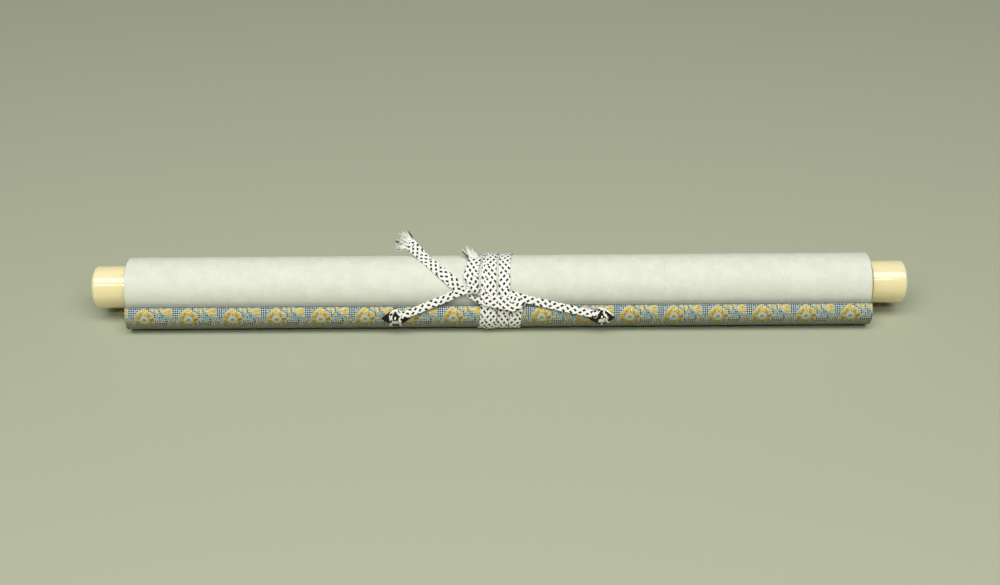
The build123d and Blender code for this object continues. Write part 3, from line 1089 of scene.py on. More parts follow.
class SharedGroup:
    """Node groups that more than one material or figure places, each built once."""

    @staticmethod
    def open(
        name: str, vectors: tuple[str, ...], numbers: tuple[str, ...], outputs: tuple[str, ...]
    ) -> tuple[Graph, object, object]:
        """Starts a group with named sockets.

        Args:
            name: The group's name.
            vectors: The inputs that take a vector.
            numbers: The inputs that take a number.
            outputs: The outputs, all numbers.

        Returns:
            The graph inside, the sockets of its inputs and those of its outputs.
        """
        tree = bpy.data.node_groups.new(name, "ShaderNodeTree")
        rows = ((vectors, "INPUT", "Vector"), (numbers, "INPUT", "Float"), (outputs, "OUTPUT", "Float"))
        for sockets, way, kind in rows:
            for socket in sockets:
                tree.interface.new_socket(socket, in_out=way, socket_type=f"NodeSocket{kind}")
        graph = Graph(tree)
        return graph, graph.node("NodeGroupInput").outputs, graph.node("NodeGroupOutput").inputs

    @staticmethod
    @cache
    def weave() -> Tree:
        """The braid's dashes and relief from metres along and across it, as Weave says."""
        g, given, gives = SharedGroup.open("braid_weave", ("Place",), (), ("Dash", "Height"))
        along, across, _ = g.split(given["Place"])
        forward, sideways = g.times(along, 1 / Weave.LONG), g.times(across, 1 / Weave.WIDE)
        p, q = g.add(forward, sideways), g.less(forward, sideways)
        parity = g.math("FLOORED_MODULO", g.add(g.math("FLOOR", p), g.math("FLOOR", q)), 2.0)
        odd = g.math("GREATER_THAN", parity, 0.5)
        even = g.less(1.0, odd)
        cell_p, cell_q = g.math("FRACT", p), g.math("FRACT", q)
        side = g.add(g.times(even, cell_q), g.times(odd, cell_p))
        run = g.add(g.times(even, cell_p), g.times(odd, cell_q))
        ridge = g.math("POWER", g.math("SINE", g.times(side, np.pi)), Weave.RIDGE)
        crown = g.add(1 - Weave.CROWN, g.times(Weave.CROWN, g.math("SINE", g.times(run, np.pi))))
        g.put(g.times(ridge, crown), gives["Height"])
        slanted = g.add(along, g.times(across, Weave.BAND_SLANT))
        band = g.math("FLOORED_MODULO", g.math("FLOOR", g.times(slanted, 1 / Weave.BAND)), 2.0)
        masks = []
        for lines, run_at in (((p, q), 0.25), ((q, p), 0.75)):
            offs = [g.less(g.math("FRACT", g.times(line, 0.5)), at) for line, at in zip(lines, (run_at, 0.25))]
            reach = g.most(*(g.times(g.size(off), 2 / share) for off, share in zip(offs, Weave.DASH)))
            masks.append(g.ramp(reach, 0.86, 1.1, 1.0, 0.0))
        g.put(g.add(g.times(masks[0], g.less(1.0, band)), g.times(masks[1], band)), gives["Dash"])
        return g.tree

    @staticmethod
    @cache
    def flower() -> Tree:
        """A round flower about a middle: petals, the pale line round them, and the eye.

        A petal ends where the radius reaches 0.72 of the reach plus the rest times a root of the
        cosine of half the petals' angle, and starts at the ring. Everything is in millimetres.
        """
        numbers = ("Petals", "Reach", "Ring", "Eye", "Gap")
        g, given, gives = SharedGroup.open("flower", ("Place", "Middle"), numbers, ("Petal", "Line", "Eye"))
        x, y, _ = g.split(g.vector("SUBTRACT", given["Place"], given["Middle"]))
        radius = g.math("SQRT", g.add(g.times(x, x), g.times(y, y)))
        wave = g.size(g.math("COSINE", g.times(g.math("ARCTAN2", y, x), g.times(given["Petals"], 0.5))))
        edge = g.times(given["Reach"], g.add(0.72, g.times(0.28, g.math("POWER", wave, 0.35))))
        between = g.times(wave, radius, g.math("DIVIDE", 2.0, given["Petals"]))
        inside = g.ramp(g.less(radius, edge), -0.12, 0.12, 1.0, 0.0)
        beyond = g.ramp(g.less(radius, given["Ring"]), -0.1, 0.1)
        g.put(g.times(inside, beyond, g.math("GREATER_THAN", between, given["Gap"])), gives["Petal"])
        g.put(g.ramp(g.less(radius, edge), 0.45, 0.65, 1.0, 0.0), gives["Line"])
        stretched = g.math("SQRT", g.add(g.times(x, x, 0.55), g.times(y, y)))
        g.put(g.ramp(g.less(stretched, given["Eye"]), -0.12, 0.12, 1.0, 0.0), gives["Eye"])
        return g.tree

    @staticmethod
    @cache
    def leaf() -> Tree:
        """A bent pointed stroke: its half-width is a root of the sine along it, in millimetres."""
        vectors, numbers = ("Place", "Start", "Towards"), ("Length", "Width", "Bend")
        g, given, gives = SharedGroup.open("leaf", vectors, numbers, ("Leaf", "Line"))
        x, y, _ = g.split(g.vector("SUBTRACT", given["Place"], given["Start"]))
        to_x, to_y, _ = g.split(given["Towards"])
        reached = g.add(g.times(x, to_x), g.times(y, to_y))
        along = g.math("DIVIDE", reached, given["Length"])
        along = g.math("MINIMUM", g.math("MAXIMUM", along, 0.0), 1.0)
        rise = g.times(along, g.less(1.0, along), given["Bend"], 4.0)
        aside = g.less(g.less(g.times(y, to_x), g.times(x, to_y)), rise)
        ahead = g.less(reached, g.times(along, given["Length"]))
        away = g.math("SQRT", g.add(g.times(aside, aside), g.times(ahead, ahead)))
        half = g.times(given["Width"], g.math("POWER", g.math("SINE", g.times(along, np.pi)), 0.6))
        beyond = g.less(away, half)
        g.put(g.ramp(beyond, -0.12, 0.08, 1.0, 0.0), gives["Leaf"])
        g.put(g.ramp(beyond, 0.3, 0.5, 1.0, 0.0), gives["Line"])
        return g.tree

    @staticmethod
    @cache
    def mottle() -> Tree:
        """Slow and fine variation of a surface's tone, both about a middle of one half."""
        names = ("Slow", "Fine")
        g, given, gives = SharedGroup.open("mottle", ("Place",), tuple(f"{n} Size" for n in names), names)
        for name in names:
            g.put(g.noise(given["Place"], g.math("DIVIDE", 1.0, given[f"{name} Size"]), 4.0), gives[name])
        return g.tree


class Finish:
    """What all finishes share: a material with its shader and a graph to write in."""

    @staticmethod
    def start(name: str, roughness: float) -> tuple[Material, Graph, Node]:
        """A new material, its graph and its shader."""
        material = bpy.data.materials.new(name)
        material.use_nodes = True
        shader = material.node_tree.nodes["Principled BSDF"]
        shader.inputs["Roughness"].default_value = roughness
        return material, Graph(material.node_tree), shader

    @staticmethod
    def plain(name: str, colour: Tint, roughness: float) -> Material:
        """A material of one even colour, for the floor."""
        material, _, shader = Finish.start(name, roughness)
        shader.inputs["Base Color"].default_value = colour
        return material


@dataclass(frozen=True)
class BraidFinish:
    """White braid with dark dashes: matt yarn with a fine twist, with painted shade in the weave's grooves."""

    white: Tint = screen(255, 255, 249)
    # the colour of the painted shade in the weave's grooves
    painted_groove_shade: Tint = screen(238, 235, 214)
    dark: Tint = screen(4, 4, 3)
    roughness: float = 0.85
    yarn: float = 0.3 * MM

    def material(self) -> Material:
        """The braid's material, which follows the piece's own UV map."""
        material, g, shader = Finish.start("braid", self.roughness)
        place = g.uv()
        woven = g.group(SharedGroup.weave(), Place=g.shaken(place, 160.0, 0.5 * MM))
        height = woven.outputs["Height"]
        along, across, _ = g.split(place)
        twist = g.math("SINE", g.times(g.add(along, g.times(across, 0.4)), 2 * np.pi / self.yarn))
        # painted shade: the weave's low parts turn to the darker groove colour
        yarn = g.mix(g.ramp(height, 0.1, 0.75), self.painted_groove_shade, self.white)
        relief = g.add(height, g.times(twist, 0.06), g.times(g.noise(place, 2600.0), 0.25))
        colour = g.mix(woven.outputs["Dash"], yarn, self.dark)
        g.feed(shader, Base_Color=colour, Normal=g.bump(relief, 0.3 * MM, 0.5))
        return material


@dataclass(frozen=True)
class FrayFinish:
    """Loose yarn at a cut end, shaded as one soft mass: each strand's normal leans upwards."""

    colour: tuple[int, int, int]
    roughness: float = 0.8
    fuzz: float = 0.6
    fuzz_spread: float = 0.6
    shade: float = 0.95
    lean: tuple[float, float, float] = (0.0, -1.7, 3.0)

    def material(self, name: str) -> Material:
        """Yarn that is paler and darker from strand to strand."""
        material, g, shader = Finish.start(name, self.roughness)
        pale, deep = screen(*self.colour), screen(*(int(c * self.shade) for c in self.colour))
        colour = g.mix(g.ramp(g.noise(g.place(), 900.0), 0.3, 0.7), deep, pale)
        leaning = g.vector("ADD", g.node("ShaderNodeNewGeometry").outputs["Normal"], self.lean)
        g.feed(shader, Base_Color=colour, Normal=g.vector("NORMALIZE", leaning))
        g.feed(shader, Sheen_Weight=self.fuzz, Sheen_Roughness=self.fuzz_spread)
        return material


@dataclass(frozen=True)
class IvoryFinish:
    """Cast resin in the colour of ivory, polished."""

    base: Tint = screen(255, 240, 192)
    deep: Tint = screen(254, 234, 178)
    roughness: float = 0.1
    gloss: float = 0.95
    scatter: float = 0.55
    depth: float = 7.0 * MM
    depth_by_colour: tuple[float, float, float] = (1.0, 0.5, 0.22)

    def material(self) -> Material:
        """Polished resin with faint cloudy rings and a few hairline marks."""
        material, g, shader = Finish.start("ivory_resin", self.roughness)
        place = g.place()
        cloud = g.noise(g.stretch(place, (0.3, 1.0, 1.0)), 90.0, 3.0)
        marks = g.noise(g.stretch(place, (0.15, 1.0, 1.0)), 700.0)
        g.feed(
            shader,
            Base_Color=g.mix(g.ramp(cloud, 0.3, 0.7), self.deep, self.base),
            Roughness=g.ramp(marks, 0.4, 0.75, 0.07, 0.13),
            Normal=g.bump(g.noise(place, 260.0), 0.03 * MM, 0.5),
            Specular_IOR_Level=self.gloss,
            Subsurface_Weight=self.scatter,
            Subsurface_Scale=self.depth,
            Subsurface_Radius=self.depth_by_colour,
        )
        return material


@dataclass(frozen=True)
class MetalFinish:
    """Blackened iron, with painted brown sheen in its sunk field and a painted glint along its upper rim."""

    base: Tint = screen(7, 5, 6)
    # the colour of the painted sheen, in patches strongest in the plate's sunk field
    painted_sheen_brown: Tint = screen(78, 56, 60)
    # the colour of the painted glint along the plate's upper rim
    bright: Tint = screen(250, 246, 236)
    roughness: float = 0.35
    metal: float = 0.4

    def material(self) -> Material:
        """Dark metal whose gloss varies in patches, with painted sheen in brown patches and a painted glint on the
        upper rim.
        """
        material, g, shader = Finish.start("dark_metal", self.roughness)
        place = g.place()
        share, turn, _ = g.split(g.uv())
        patches = g.noise(place, 650.0, 4.0)
        # painted sheen: brown patches, strongest in the plate's sunk field
        field_mask = g.times(g.ramp(share, 0.02, 0.1), g.ramp(share, 0.5, 0.68, 1.0, 0.0))
        painted_sheen_mask = g.times(g.ramp(patches, 0.4, 0.62), g.add(0.35, g.times(field_mask, 0.65)))
        # painted glint: a pale band along the upper side of the rim, broken by patches
        upper = g.times(g.ramp(turn, 0.02, 0.08), g.ramp(turn, 0.42, 0.5, 1.0, 0.0))
        painted_glint_mask = g.times(g.ramp(share, 0.83, 0.89), g.ramp(patches, 0.3, 0.5), upper)
        metal = g.mix(painted_sheen_mask, self.base, self.painted_sheen_brown)
        g.feed(
            shader,
            Base_Color=g.mix(painted_glint_mask, metal, self.bright),
            Roughness=g.ramp(patches, 0.3, 0.7, 0.4, 0.24),
            Metallic=self.metal,
            Normal=g.bump(g.noise(place, 1500.0, 3.0), 0.08 * MM, 0.5),
        )
        return material


@dataclass(frozen=True)
class WoodFinish:
    """Plain pale wood of the roller and the rod."""

    early: Tint = screen(206, 178, 132)
    late: Tint = screen(170, 135, 90)
    roughness: float = 0.6

    def material(self) -> Material:
        """Grain that runs along the stick, in rings about its middle."""
        material, g, shader = Finish.start("wood", self.roughness)
        place = g.place()
        rings = g.noise(g.stretch(place, (0.06, 1.0, 1.0)), 500.0, 4.0, 0.6)
        colour = g.mix(g.ramp(rings, 0.35, 0.65), self.early, self.late)
        g.feed(shader, Base_Color=colour, Normal=g.bump(rings, 0.1 * MM, 0.6))
        return material


@dataclass(frozen=True)
class PaperFinish:
    """Mounting paper: pale, matt, faintly mottled, with greyed edges at both ends."""

    base: Tint = screen(230, 233, 216)
    cool: Tint = screen(224, 227, 210)
    edge: Tint = screen(178, 178, 160)
    speck: Tint = screen(204, 205, 186)
    roughness: float = 0.9
    # rings: where faint creases run round the roll, in millimetres; the paper is painted a little darker there as
    # shade
    rings: tuple[float, ...] = (-156.0, -141.0, -104.0, 149.0, 160.0, 171.0)
    ring_width: float = 1.6
    hairs: tuple[float, ...] = (-198.0, -141.2, -254.5, 120.4, 203.7)
    hair_width: tuple[float, float] = (0.1, 0.4)
    gloss: float = 0.2

    @staticmethod
    def rings_at(g: Graph, x: Socket, places: tuple[float, ...], width: tuple[float, float]) -> Socket:
        """A mask of rings round the roll.

        Args:
            g: The graph to write in.
            x: The place along the roller.
            places: Where the rings lie, in millimetres.
            width: How far from a ring the mask starts to fall and ends, in millimetres.

        Returns:
            A number that is 1 on the rings.
        """
        mask: object = 0.0
        for ring in places:
            off = g.size(g.less(x, ring * MM))
            mask = g.most(mask, g.ramp(off, width[0] * MM, width[1] * MM, 1.0, 0.0))
        return mask

    def material(self, low: float, high: float) -> Material:
        """The paper's material.

        Args:
            low: Where the sheet's left edge lies along the roller, in metres.
            high: Where its right edge lies.

        Returns:
            The material.
        """
        material, g, shader = Finish.start("paper", self.roughness)
        place = g.place()
        tone = g.group(SharedGroup.mottle(), Place=place, Slow_Size=9 * MM, Fine_Size=1.3 * MM)
        slow, fine = tone.outputs["Slow"], tone.outputs["Fine"]
        x, _, _ = g.split(place)
        paper = g.mix(g.ramp(slow, 0.36, 0.64), self.cool, self.base)
        grain = g.ramp(g.noise(place, 900.0, 3.0, 0.65), 0.3, 0.6, 0.22, 0.0)
        paper = g.mix(grain, paper, self.speck)
        specks = g.ramp(fine, 0.58, 0.74)
        paper = g.mix(g.times(specks, 0.5), paper, self.speck)
        # painted shade: the paper is a little darker along the ring creases
        painted_crease_shade = self.rings_at(g, x, self.rings, (0.0, self.ring_width))
        paper = g.mix(g.times(painted_crease_shade, 0.3), paper, self.cool)
        broken = g.ramp(g.noise(g.stretch(place, (0.1, 1.0, 1.0)), 130.0), 0.46, 0.6)
        hair = self.rings_at(g, x, self.hairs, self.hair_width)
        paper = g.mix(g.times(hair, broken, 0.5), paper, self.speck)
        inside = g.math("MINIMUM", g.less(x, low), g.less(high, x))
        ragged = g.add(inside, g.times(g.less(g.noise(place, 1400.0, 3.0), 0.5), 1.2 * MM))
        rim = g.ramp(ragged, 0.0, 0.6 * MM, 1.0, 0.0)
        g.feed(
            shader,
            Base_Color=g.mix(g.times(rim, 0.5), paper, self.edge),
            Normal=g.bump(g.add(g.noise(place, 1000.0, 3.0, 0.6), slow), 0.12 * MM, 0.8),
            Specular_IOR_Level=self.gloss,
        )
        return material


@dataclass(frozen=True)
class Leaf:
    """A leaf of the brocade: from one point to another, in millimetres within a repeat."""

    start: tuple[float, float]
    end: tuple[float, float]
    width: float
    bend: float = 0.0

    def shape(self, g: Graph, place: Socket, shift: float) -> Node:
        """The leaf's masks, moved along by a shift."""
        start, end = np.array(self.start), np.array(self.end)
        length = float(np.linalg.norm(end - start))
        towards = (end - start) / length
        return g.group(
            SharedGroup.leaf(),
            Place=place,
            Start=(self.start[0] + shift, self.start[1], 0.0),
            Towards=(float(towards[0]), float(towards[1]), 0.0),
            Length=length,
            Width=self.width,
            Bend=self.bend,
        )


@dataclass(frozen=True)
class Flower:
    """A round flower of the brocade, with its middle and sizes in millimetres within a repeat."""

    x: float
    y: float
    petals: float
    reach: float
    ring: float = 0.1
    eye: float = 0.1
    gap: float = 0.1

    def shape(self, g: Graph, place: Socket) -> Node:
        """The flower's masks."""
        sizes = {"Petals": self.petals, "Reach": self.reach, "Ring": self.ring, "Eye": self.eye, "Gap": self.gap}
        return g.group(SharedGroup.flower(), Place=place, Middle=(self.x, self.y, 0.0), **sizes)


@dataclass(frozen=True)
class BrocadeFinish:
    """Teal silk with gold blossoms, leaves and navy dots, in rows shifted by half a repeat."""

    ground: Tint = screen(116, 146, 146)
    line: Tint = screen(176, 206, 202)
    gold: Tint = screen(216, 186, 80)
    old_gold: Tint = screen(170, 130, 46)
    navy: Tint = screen(2, 5, 10)
    bright: Tint = screen(214, 232, 226)
    # the colour of the painted shade on the lower part of the rod's round
    shade: Tint = screen(66, 58, 30)
    # the colour of the painted shade line along the cloth's upper edge, where it meets the paper
    seam: Tint = screen(58, 62, 44)
    roughness: float = 0.55
    repeat: float = 32.14
    row: float = 20.4
    phase: float = -194.4
    dot_step: float = 1.56
    dot_radius: float = 0.66
    weft_step: float = 0.42
    warp_step: float = 0.34
    leaves: tuple[Leaf, ...] = (
        Leaf((8.3, 0.4), (10.8, 6.2), 0.85, 0.7),
        Leaf((11.6, 0.2), (14.4, 4.2), 0.75, 0.5),
        Leaf((5.2, 0.2), (6.3, 3.2), 0.6, 0.3),
        Leaf((-2.6, 2.3), (1.2, 0.6), 0.55, 0.4),
        Leaf((-13.0, 6.6), (-17.0, 16.8), 0.6, -0.9),
        Leaf((-12.3, 7.0), (-7.2, 16.4), 0.75, 0.8),
        Leaf((7.8, 8.6), (14.2, 10.6), 0.6, 0.8),
        Leaf((8.0, 16.0), (13.4, 16.0), 1.25),
        Leaf((-14.6, 15.6), (-10.4, 15.9), 1.1, 0.3),
        Leaf((5.4, 18.6), (9.0, 20.2), 0.6, 0.4),
        Leaf((-8.4, 10.9), (-6.6, 13.2), 0.5, 0.2),
    )
    flowers: tuple[Flower, ...] = (
        Flower(0.0, 9.6, 9.0, 7.2, 3.2, 1.25, 0.2),
        Flower(-14.8, 4.1, 5.0, 2.95),
        Flower(17.34, 4.1, 5.0, 2.95),
    )
    dot_fields: tuple[tuple[float, float, float, float], ...] = (
        (-12.4, -7.0, 0.4, 7.8),
        (0.2, 4.6, 0.6, 3.9),
        (5.8, 8.2, 4.6, 7.8),
        (7.6, 13.0, 11.2, 13.9),
        (-12.0, -9.4, 9.0, 11.2),
        (-6.0, 3.0, 17.8, 20.4),
        (-17.6, -16.0, 1.0, 7.0),
        (6.6, 8.4, 7.8, 14.2),
        (13.4, 16.6, 10.6, 15.4),
        (-9.8, -7.0, 11.6, 20.4),
    )

    def place(self, g: Graph) -> Socket:
        """Millimetres within one repeat: from its blossom along, and down from the row's top."""
        u, v, _ = g.split(g.uv())
        down = g.times(v, 1 / MM)
        row = g.math("FLOOR", g.times(down, 1 / self.row))
        down = g.less(down, g.times(row, self.row))
        along = g.less(g.times(u, 1 / MM), self.phase)
        along = g.add(along, g.times(row, self.repeat / 2))
        along = g.math("WRAP", along, self.repeat / 2, -self.repeat / 2)
        joined = g.node("ShaderNodeCombineXYZ")
        g.put(along, joined.inputs[0])
        g.put(down, joined.inputs[1])
        return joined.outputs[0]

    def dots(self, g: Graph, place: object) -> tuple[Socket, Socket]:
        """Navy dots on a square grid, and the fields that they lie in."""
        x, y, _ = g.split(place)
        squares = []
        for value in (x, y):
            cell = g.less(g.math("FRACT", g.times(g.add(value, 40.0), 1 / self.dot_step)), 0.5)
            squares.append(g.times(cell, cell, self.dot_step**2))
        dot = g.ramp(g.math("SQRT", g.add(*squares)), self.dot_radius - 0.12, self.dot_radius + 0.12, 1.0, 0.0)
        fields: object = 0.0
        for low_x, high_x, low_y, high_y in self.dot_fields:
            within = g.times(
                g.math("GREATER_THAN", x, low_x),
                g.math("LESS_THAN", x, high_x),
                g.math("GREATER_THAN", y, low_y),
                g.math("LESS_THAN", y, high_y),
            )
            fields = g.most(fields, within)
        fields = g.most(fields, g.ramp(g.noise(place, 0.3, 2.0), 0.5, 0.53))
        return g.times(dot, fields), fields

    def figures(self, g: Graph, place: Socket) -> tuple[Socket, Socket]:
        """The gold of all leaves and flowers, and the pale lines round them."""
        golds: object = 0.0
        lines: object = 0.0
        for leaf in self.leaves:
            for shift in (-self.repeat, 0.0, self.repeat):
                low, high = sorted((leaf.start[0] + shift, leaf.end[0] + shift))
                if high >= -self.repeat / 2 and low <= self.repeat / 2:
                    shape = leaf.shape(g, place, shift).outputs
                    golds, lines = g.most(golds, shape["Leaf"]), g.most(lines, shape["Line"])
        for flower in self.flowers:
            shape = flower.shape(g, place).outputs
            golds = g.times(golds, g.less(1.0, shape["Line"]))
            golds, lines = g.most(golds, shape["Petal"], shape["Eye"]), g.most(lines, shape["Line"])
        return golds, lines

    def material(self) -> Material:
        """The cloth's material, which follows the cover's UV map in metres."""
        material, g, shader = Finish.start("brocade", self.roughness)
        clean = self.place(g)
        place = g.shaken(clean, 1.1, 0.35)
        golds, lines = self.figures(g, place)
        aged = g.ramp(g.noise(place, 0.5, 2.0), 0.4, 0.62)
        gold = g.mix(aged, self.gold, self.old_gold)
        patches = g.ramp(g.noise(place, 0.5, 4.0, 0.65), 0.38, 0.66, 0.0, 0.6)
        ground = g.mix(patches, self.ground, self.line)
        dots, fields = self.dots(g, clean)
        dots = g.times(dots, g.less(1.0, lines))
        ground = g.mix(g.times(fields, 0.8), ground, self.bright)
        cloth = g.mix(dots, ground, self.navy)
        cloth = g.mix(g.times(lines, 0.8), cloth, self.line)
        cloth = g.mix(golds, cloth, gold)
        _, v, _ = g.split(g.uv())
        # painted shade: a dark line along the cloth's upper edge, where it meets the paper
        cloth = g.mix(g.ramp(v, 0.25 * MM, 0.95 * MM, 0.85, 0.0), cloth, self.seam)
        # painted shade: the cloth turns darker toward the bottom of the round
        cloth = g.mix(g.ramp(v, 7 * MM, 15 * MM, 0.0, 0.42), cloth, self.shade)
        x, y, _ = g.split(clean)
        weft = g.math("SINE", g.times(y, 2 * np.pi / self.weft_step))
        warp = g.math("SINE", g.times(g.add(x, g.times(y, 0.5)), 2 * np.pi / self.warp_step))
        thread = g.add(g.times(weft, 0.5), g.times(warp, 0.5))
        shade = g.ramp(thread, -1.0, 1.0, 0.0, 0.16)
        g.feed(
            shader,
            Base_Color=g.mix(shade, cloth, self.navy),
            Metallic=g.times(golds, 0.55),
            Roughness=g.ramp(golds, 0.0, 1.0, 0.62, 0.4),
            Normal=g.bump(g.add(g.times(golds, 0.8), g.times(thread, 0.35)), 0.12 * MM, 0.7),
        )
        return material


@dataclass
class PaperRoll:
    """The rolled sheet: half circles on two centres, then a straight tongue to the rod."""

    first_radius: float = 12.55 * MM
    pitch: float = 0.54375 * MM
    thickness: float = 0.45 * MM
    turns: int = 17
    tongue: float = 11.9 * MM
    finish_angle: float = 265.3
    flat_depth: float = 0.12 * MM
    inner_steps: int = 40
    outer_steps: int = 132
    tongue_steps: int = 8
    stations: int = 55
    ripple: float = 0.16 * MM
    edge_step: float = 0.45 * MM
    near_edge: tuple[float, ...] = (0.18, 0.7, 2.4)
    crowding: float = 0.35  # how much closer the stations stand near the ends
    ragged_from: float = 0.97  # share of the way out
    ripple_shares: tuple[float, float] = (1.6, 0.9)  # slow and local
    swell_length: float = 40 * MM
    dent_length: float = 14 * MM

    def sweep(self) -> np.ndarray:
        """Degrees from the inner end, coarse on the hidden turns and fine on the last one."""
        hidden = np.linspace(0, (self.turns - 1) * 360, (self.turns - 1) * self.inner_steps, endpoint=False)
        shown = np.linspace((self.turns - 1) * 360, self.turns * 360 - 0.001, self.outer_steps)
        return np.concatenate([hidden, shown])

    def face(self, inset: float) -> np.ndarray:
        """One face of the sheet in the section: back and height about the axis, in metres.

        Half turn h has its middle at h odd times half a pitch and its radius half a pitch more
        than the last one's. The tongue leaves square to the last radius.

        Args:
            inset: 0 for the inner face, the thickness for the outer one.

        Returns:
            One row of two coordinates for each point.
        """
        sweep = self.sweep()
        half = np.floor(sweep / 180)
        radius = self.first_radius + inset + half * self.pitch / 2
        turn = -np.radians(sweep)
        across = (half % 2) * self.pitch / 2 + radius * np.cos(turn)
        section = np.stack([across, radius * np.sin(turn)], axis=1)
        last = self.first_radius + inset + self.turns * self.pitch
        run = np.linspace(0, self.tongue, self.tongue_steps + 1)[1:]
        section = np.vstack([section, np.stack([np.full(len(run), last), -run], axis=1)])
        spin = np.radians(self.finish_angle)
        back = section[:, 0] * np.cos(spin) - section[:, 1] * np.sin(spin)
        height = section[:, 0] * np.sin(spin) + section[:, 1] * np.cos(spin)
        return np.stack([back, height], axis=1)

    def build(self, finish: PaperFinish) -> None:
        """Builds the roll: a grid of stations along the roller by points round the section.

        Radius grows by a smooth random ripple that is the same for every turn, so that no two
        turns meet. Each end is drawn in and out along the roller by a finer one.
        """
        low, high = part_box("rolled_sheet")
        middle, half = (low[0] + high[0]) / 2, (high[0] - low[0]) / 2 - self.edge_step / 2
        section = np.vstack([self.face(self.thickness), self.face(0.0)[::-1]])
        share = np.sin(np.linspace(-np.pi / 2, np.pi / 2, self.stations))
        share = self.crowding * share + (1 - self.crowding) * np.linspace(-1, 1, self.stations)
        close = 1 - np.array(self.near_edge) * MM / half
        share = np.sort(np.concatenate([share, close, -close]))
        radius = np.linalg.norm(section, axis=1)
        around = section / radius[:, None]
        back, height = around[:, 0][None, :], around[:, 1][None, :]
        x = share[:, None] * half
        slow = waves(5, 14, 1.2, 5.0, x / self.swell_length + 0 * back, back * 1.6 + 0 * x, height * 1.6 + 0 * x)
        local = waves(8, 16, 0.8, 2.4, x / self.dent_length + 0 * back, back * 1.2 + 0 * x, height * 1.2 + 0 * x)
        depth = (radius / radius.max())[None, :] ** 2
        wide, narrow = self.ripple_shares
        swell = 1 + (self.ripple / radius)[None, :] * depth * (wide * slow + narrow * local)
        turn = np.concatenate([self.sweep() / 360, np.full(self.tongue_steps, self.turns)])
        turn = np.concatenate([turn, turn[::-1]])
        stagger = waves(21, 10, 0.35, 3.0, turn[None, :] + 0 * x, np.sign(x) * 7 + 0 * back)
        stagger = stagger + 0.6 * waves(22, 10, 0.08, 0.4, turn[None, :] + 0 * x, np.sign(x) * 3 + 0 * back)
        near_end = smooth_step(self.ragged_from, 1.0, np.abs(share))[:, None]
        place = middle + x + stagger * near_end * self.edge_step
        level = -(self.first_radius + self.thickness + self.turns * self.pitch - self.flat_depth)
        heights = np.maximum(section[:, 1][None, :] * swell, level)
        points = np.stack([place, AXIS[1] + section[:, 0][None, :] * swell, AXIS[2] + heights], axis=-1)
        rows, columns = place.shape
        quads = MeshPiece.grid(rows, columns)
        j = np.arange(columns // 2 - 1)
        first = np.stack([j, j + 1, columns - 2 - j, columns - 1 - j], axis=1)
        last = (rows - 1) * columns + first[:, ::-1]
        piece = MeshPiece.build("paper_roll", points.reshape(-1, 3), [quads, first, last])
        MeshPiece.dress(piece, finish.material(low[0], high[0]), "paper")
        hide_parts("rolled_sheet")
        LOG.info("paper roll, %d faces", len(piece.data.polygons))


@dataclass
class BrocadeCover:
    """The brocade strip round the rod: a half round with its flat to the roll, closed at both ends."""

    thickness: float = 0.4 * MM
    corner_steps: int = 4
    round_steps: int = 72
    flat_steps: int = 10
    stations: int = 420
    curl_steps: int = 5
    relief: float = 0.05 * MM
    relief_length: float = 3 * MM
    seam: float = 0.3 * MM

    def outline(self) -> tuple[np.ndarray, np.ndarray]:
        """The section and its outward directions: a half circle, two small rounds and a flat.

        Returns:
            Points and directions, forward of the rod's flat and down along it, in metres.
        """
        small = self.thickness
        reach = ROD.radius - small
        big = np.radians(np.linspace(-90, 90, self.round_steps))
        corner = np.radians(np.linspace(90, 180, self.corner_steps + 1)[1:])
        flat = np.linspace(reach, -reach, self.flat_steps + 2)[1:-1]
        arc = np.stack([np.cos(big), np.sin(big)], axis=1)
        turn = np.stack([np.cos(corner), np.sin(corner)], axis=1)
        back = np.stack([np.full(len(flat), -1.0), np.zeros(len(flat))], axis=1)
        mirrored = turn[::-1] * [1, -1]
        points = [arc * ROD.radius, turn * small + [0, reach], np.stack([np.full(len(flat), -small), flat], axis=1)]
        points.append(mirrored * small - [0, reach])
        return np.vstack(points), np.vstack([arc, turn, back, mirrored])

    def build(self, material: Material) -> None:
        """Builds the cover as rows of its section along the rod, each end drawn in to a point.

        UV holds metres along the rod and round the section from the rod's upper corner.
        """
        low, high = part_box("brocade_cover")
        outline, normals = self.outline()
        run = np.concatenate([[0], np.cumsum(np.linalg.norm(np.diff(outline, axis=0), axis=1))])
        curl = np.radians(np.linspace(0, 90, self.curl_steps))
        inset = self.thickness * (1 - np.sin(curl))
        step = self.thickness * (1 - np.cos(curl))
        run_x = np.linspace(low[0] + step[-1], high[0] - step[-1], self.stations)
        x = np.concatenate([low[0] + step[:-1], run_x, high[0] - step[:-1][::-1]])
        inset = np.concatenate([inset[:-1], np.zeros(self.stations), inset[:-1][::-1]])
        across, around = np.broadcast_arrays(x[:, None], run[None, :])
        height = waves(31, 24, 0.9, 4.0, across / self.relief_length, around / self.relief_length)
        push = height * self.relief - inset[:, None]
        section = outline[None] + normals[None] * push[..., None]
        forward, down = ROD.distance + section[..., 0], section[..., 1]
        y = AXIS[1] - forward * np.cos(ROD.drop) + down * np.sin(ROD.drop)
        z = AXIS[2] - forward * np.sin(ROD.drop) - down * np.cos(ROD.drop)
        points = np.stack([across, y, z], axis=-1)
        flat, faces = MeshPiece.tube(points, (points[0].mean(axis=0), points[-1].mean(axis=0)), flipped=True)
        uv_points = np.stack([across, around], axis=-1).reshape(-1, 2)
        uv_points = np.append(uv_points, [[x[0], run.mean()], [x[-1], run.mean()]], axis=0)
        corners = [uv_points[f] for f in faces]
        around = corners[0][..., 1]
        late = (np.ptp(around, axis=1, keepdims=True) > run[-1] / 2) & (around < run[-1] / 2)
        corners[0][..., 1] = np.where(late, around + run[-1] + outline[0, 0] + self.seam, around)
        piece = MeshPiece.build("brocade", flat, faces, corners)
        MeshPiece.dress(piece, material, "brocade")
        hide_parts("brocade_cover")
        LOG.info("brocade, %d faces", len(piece.data.polygons))


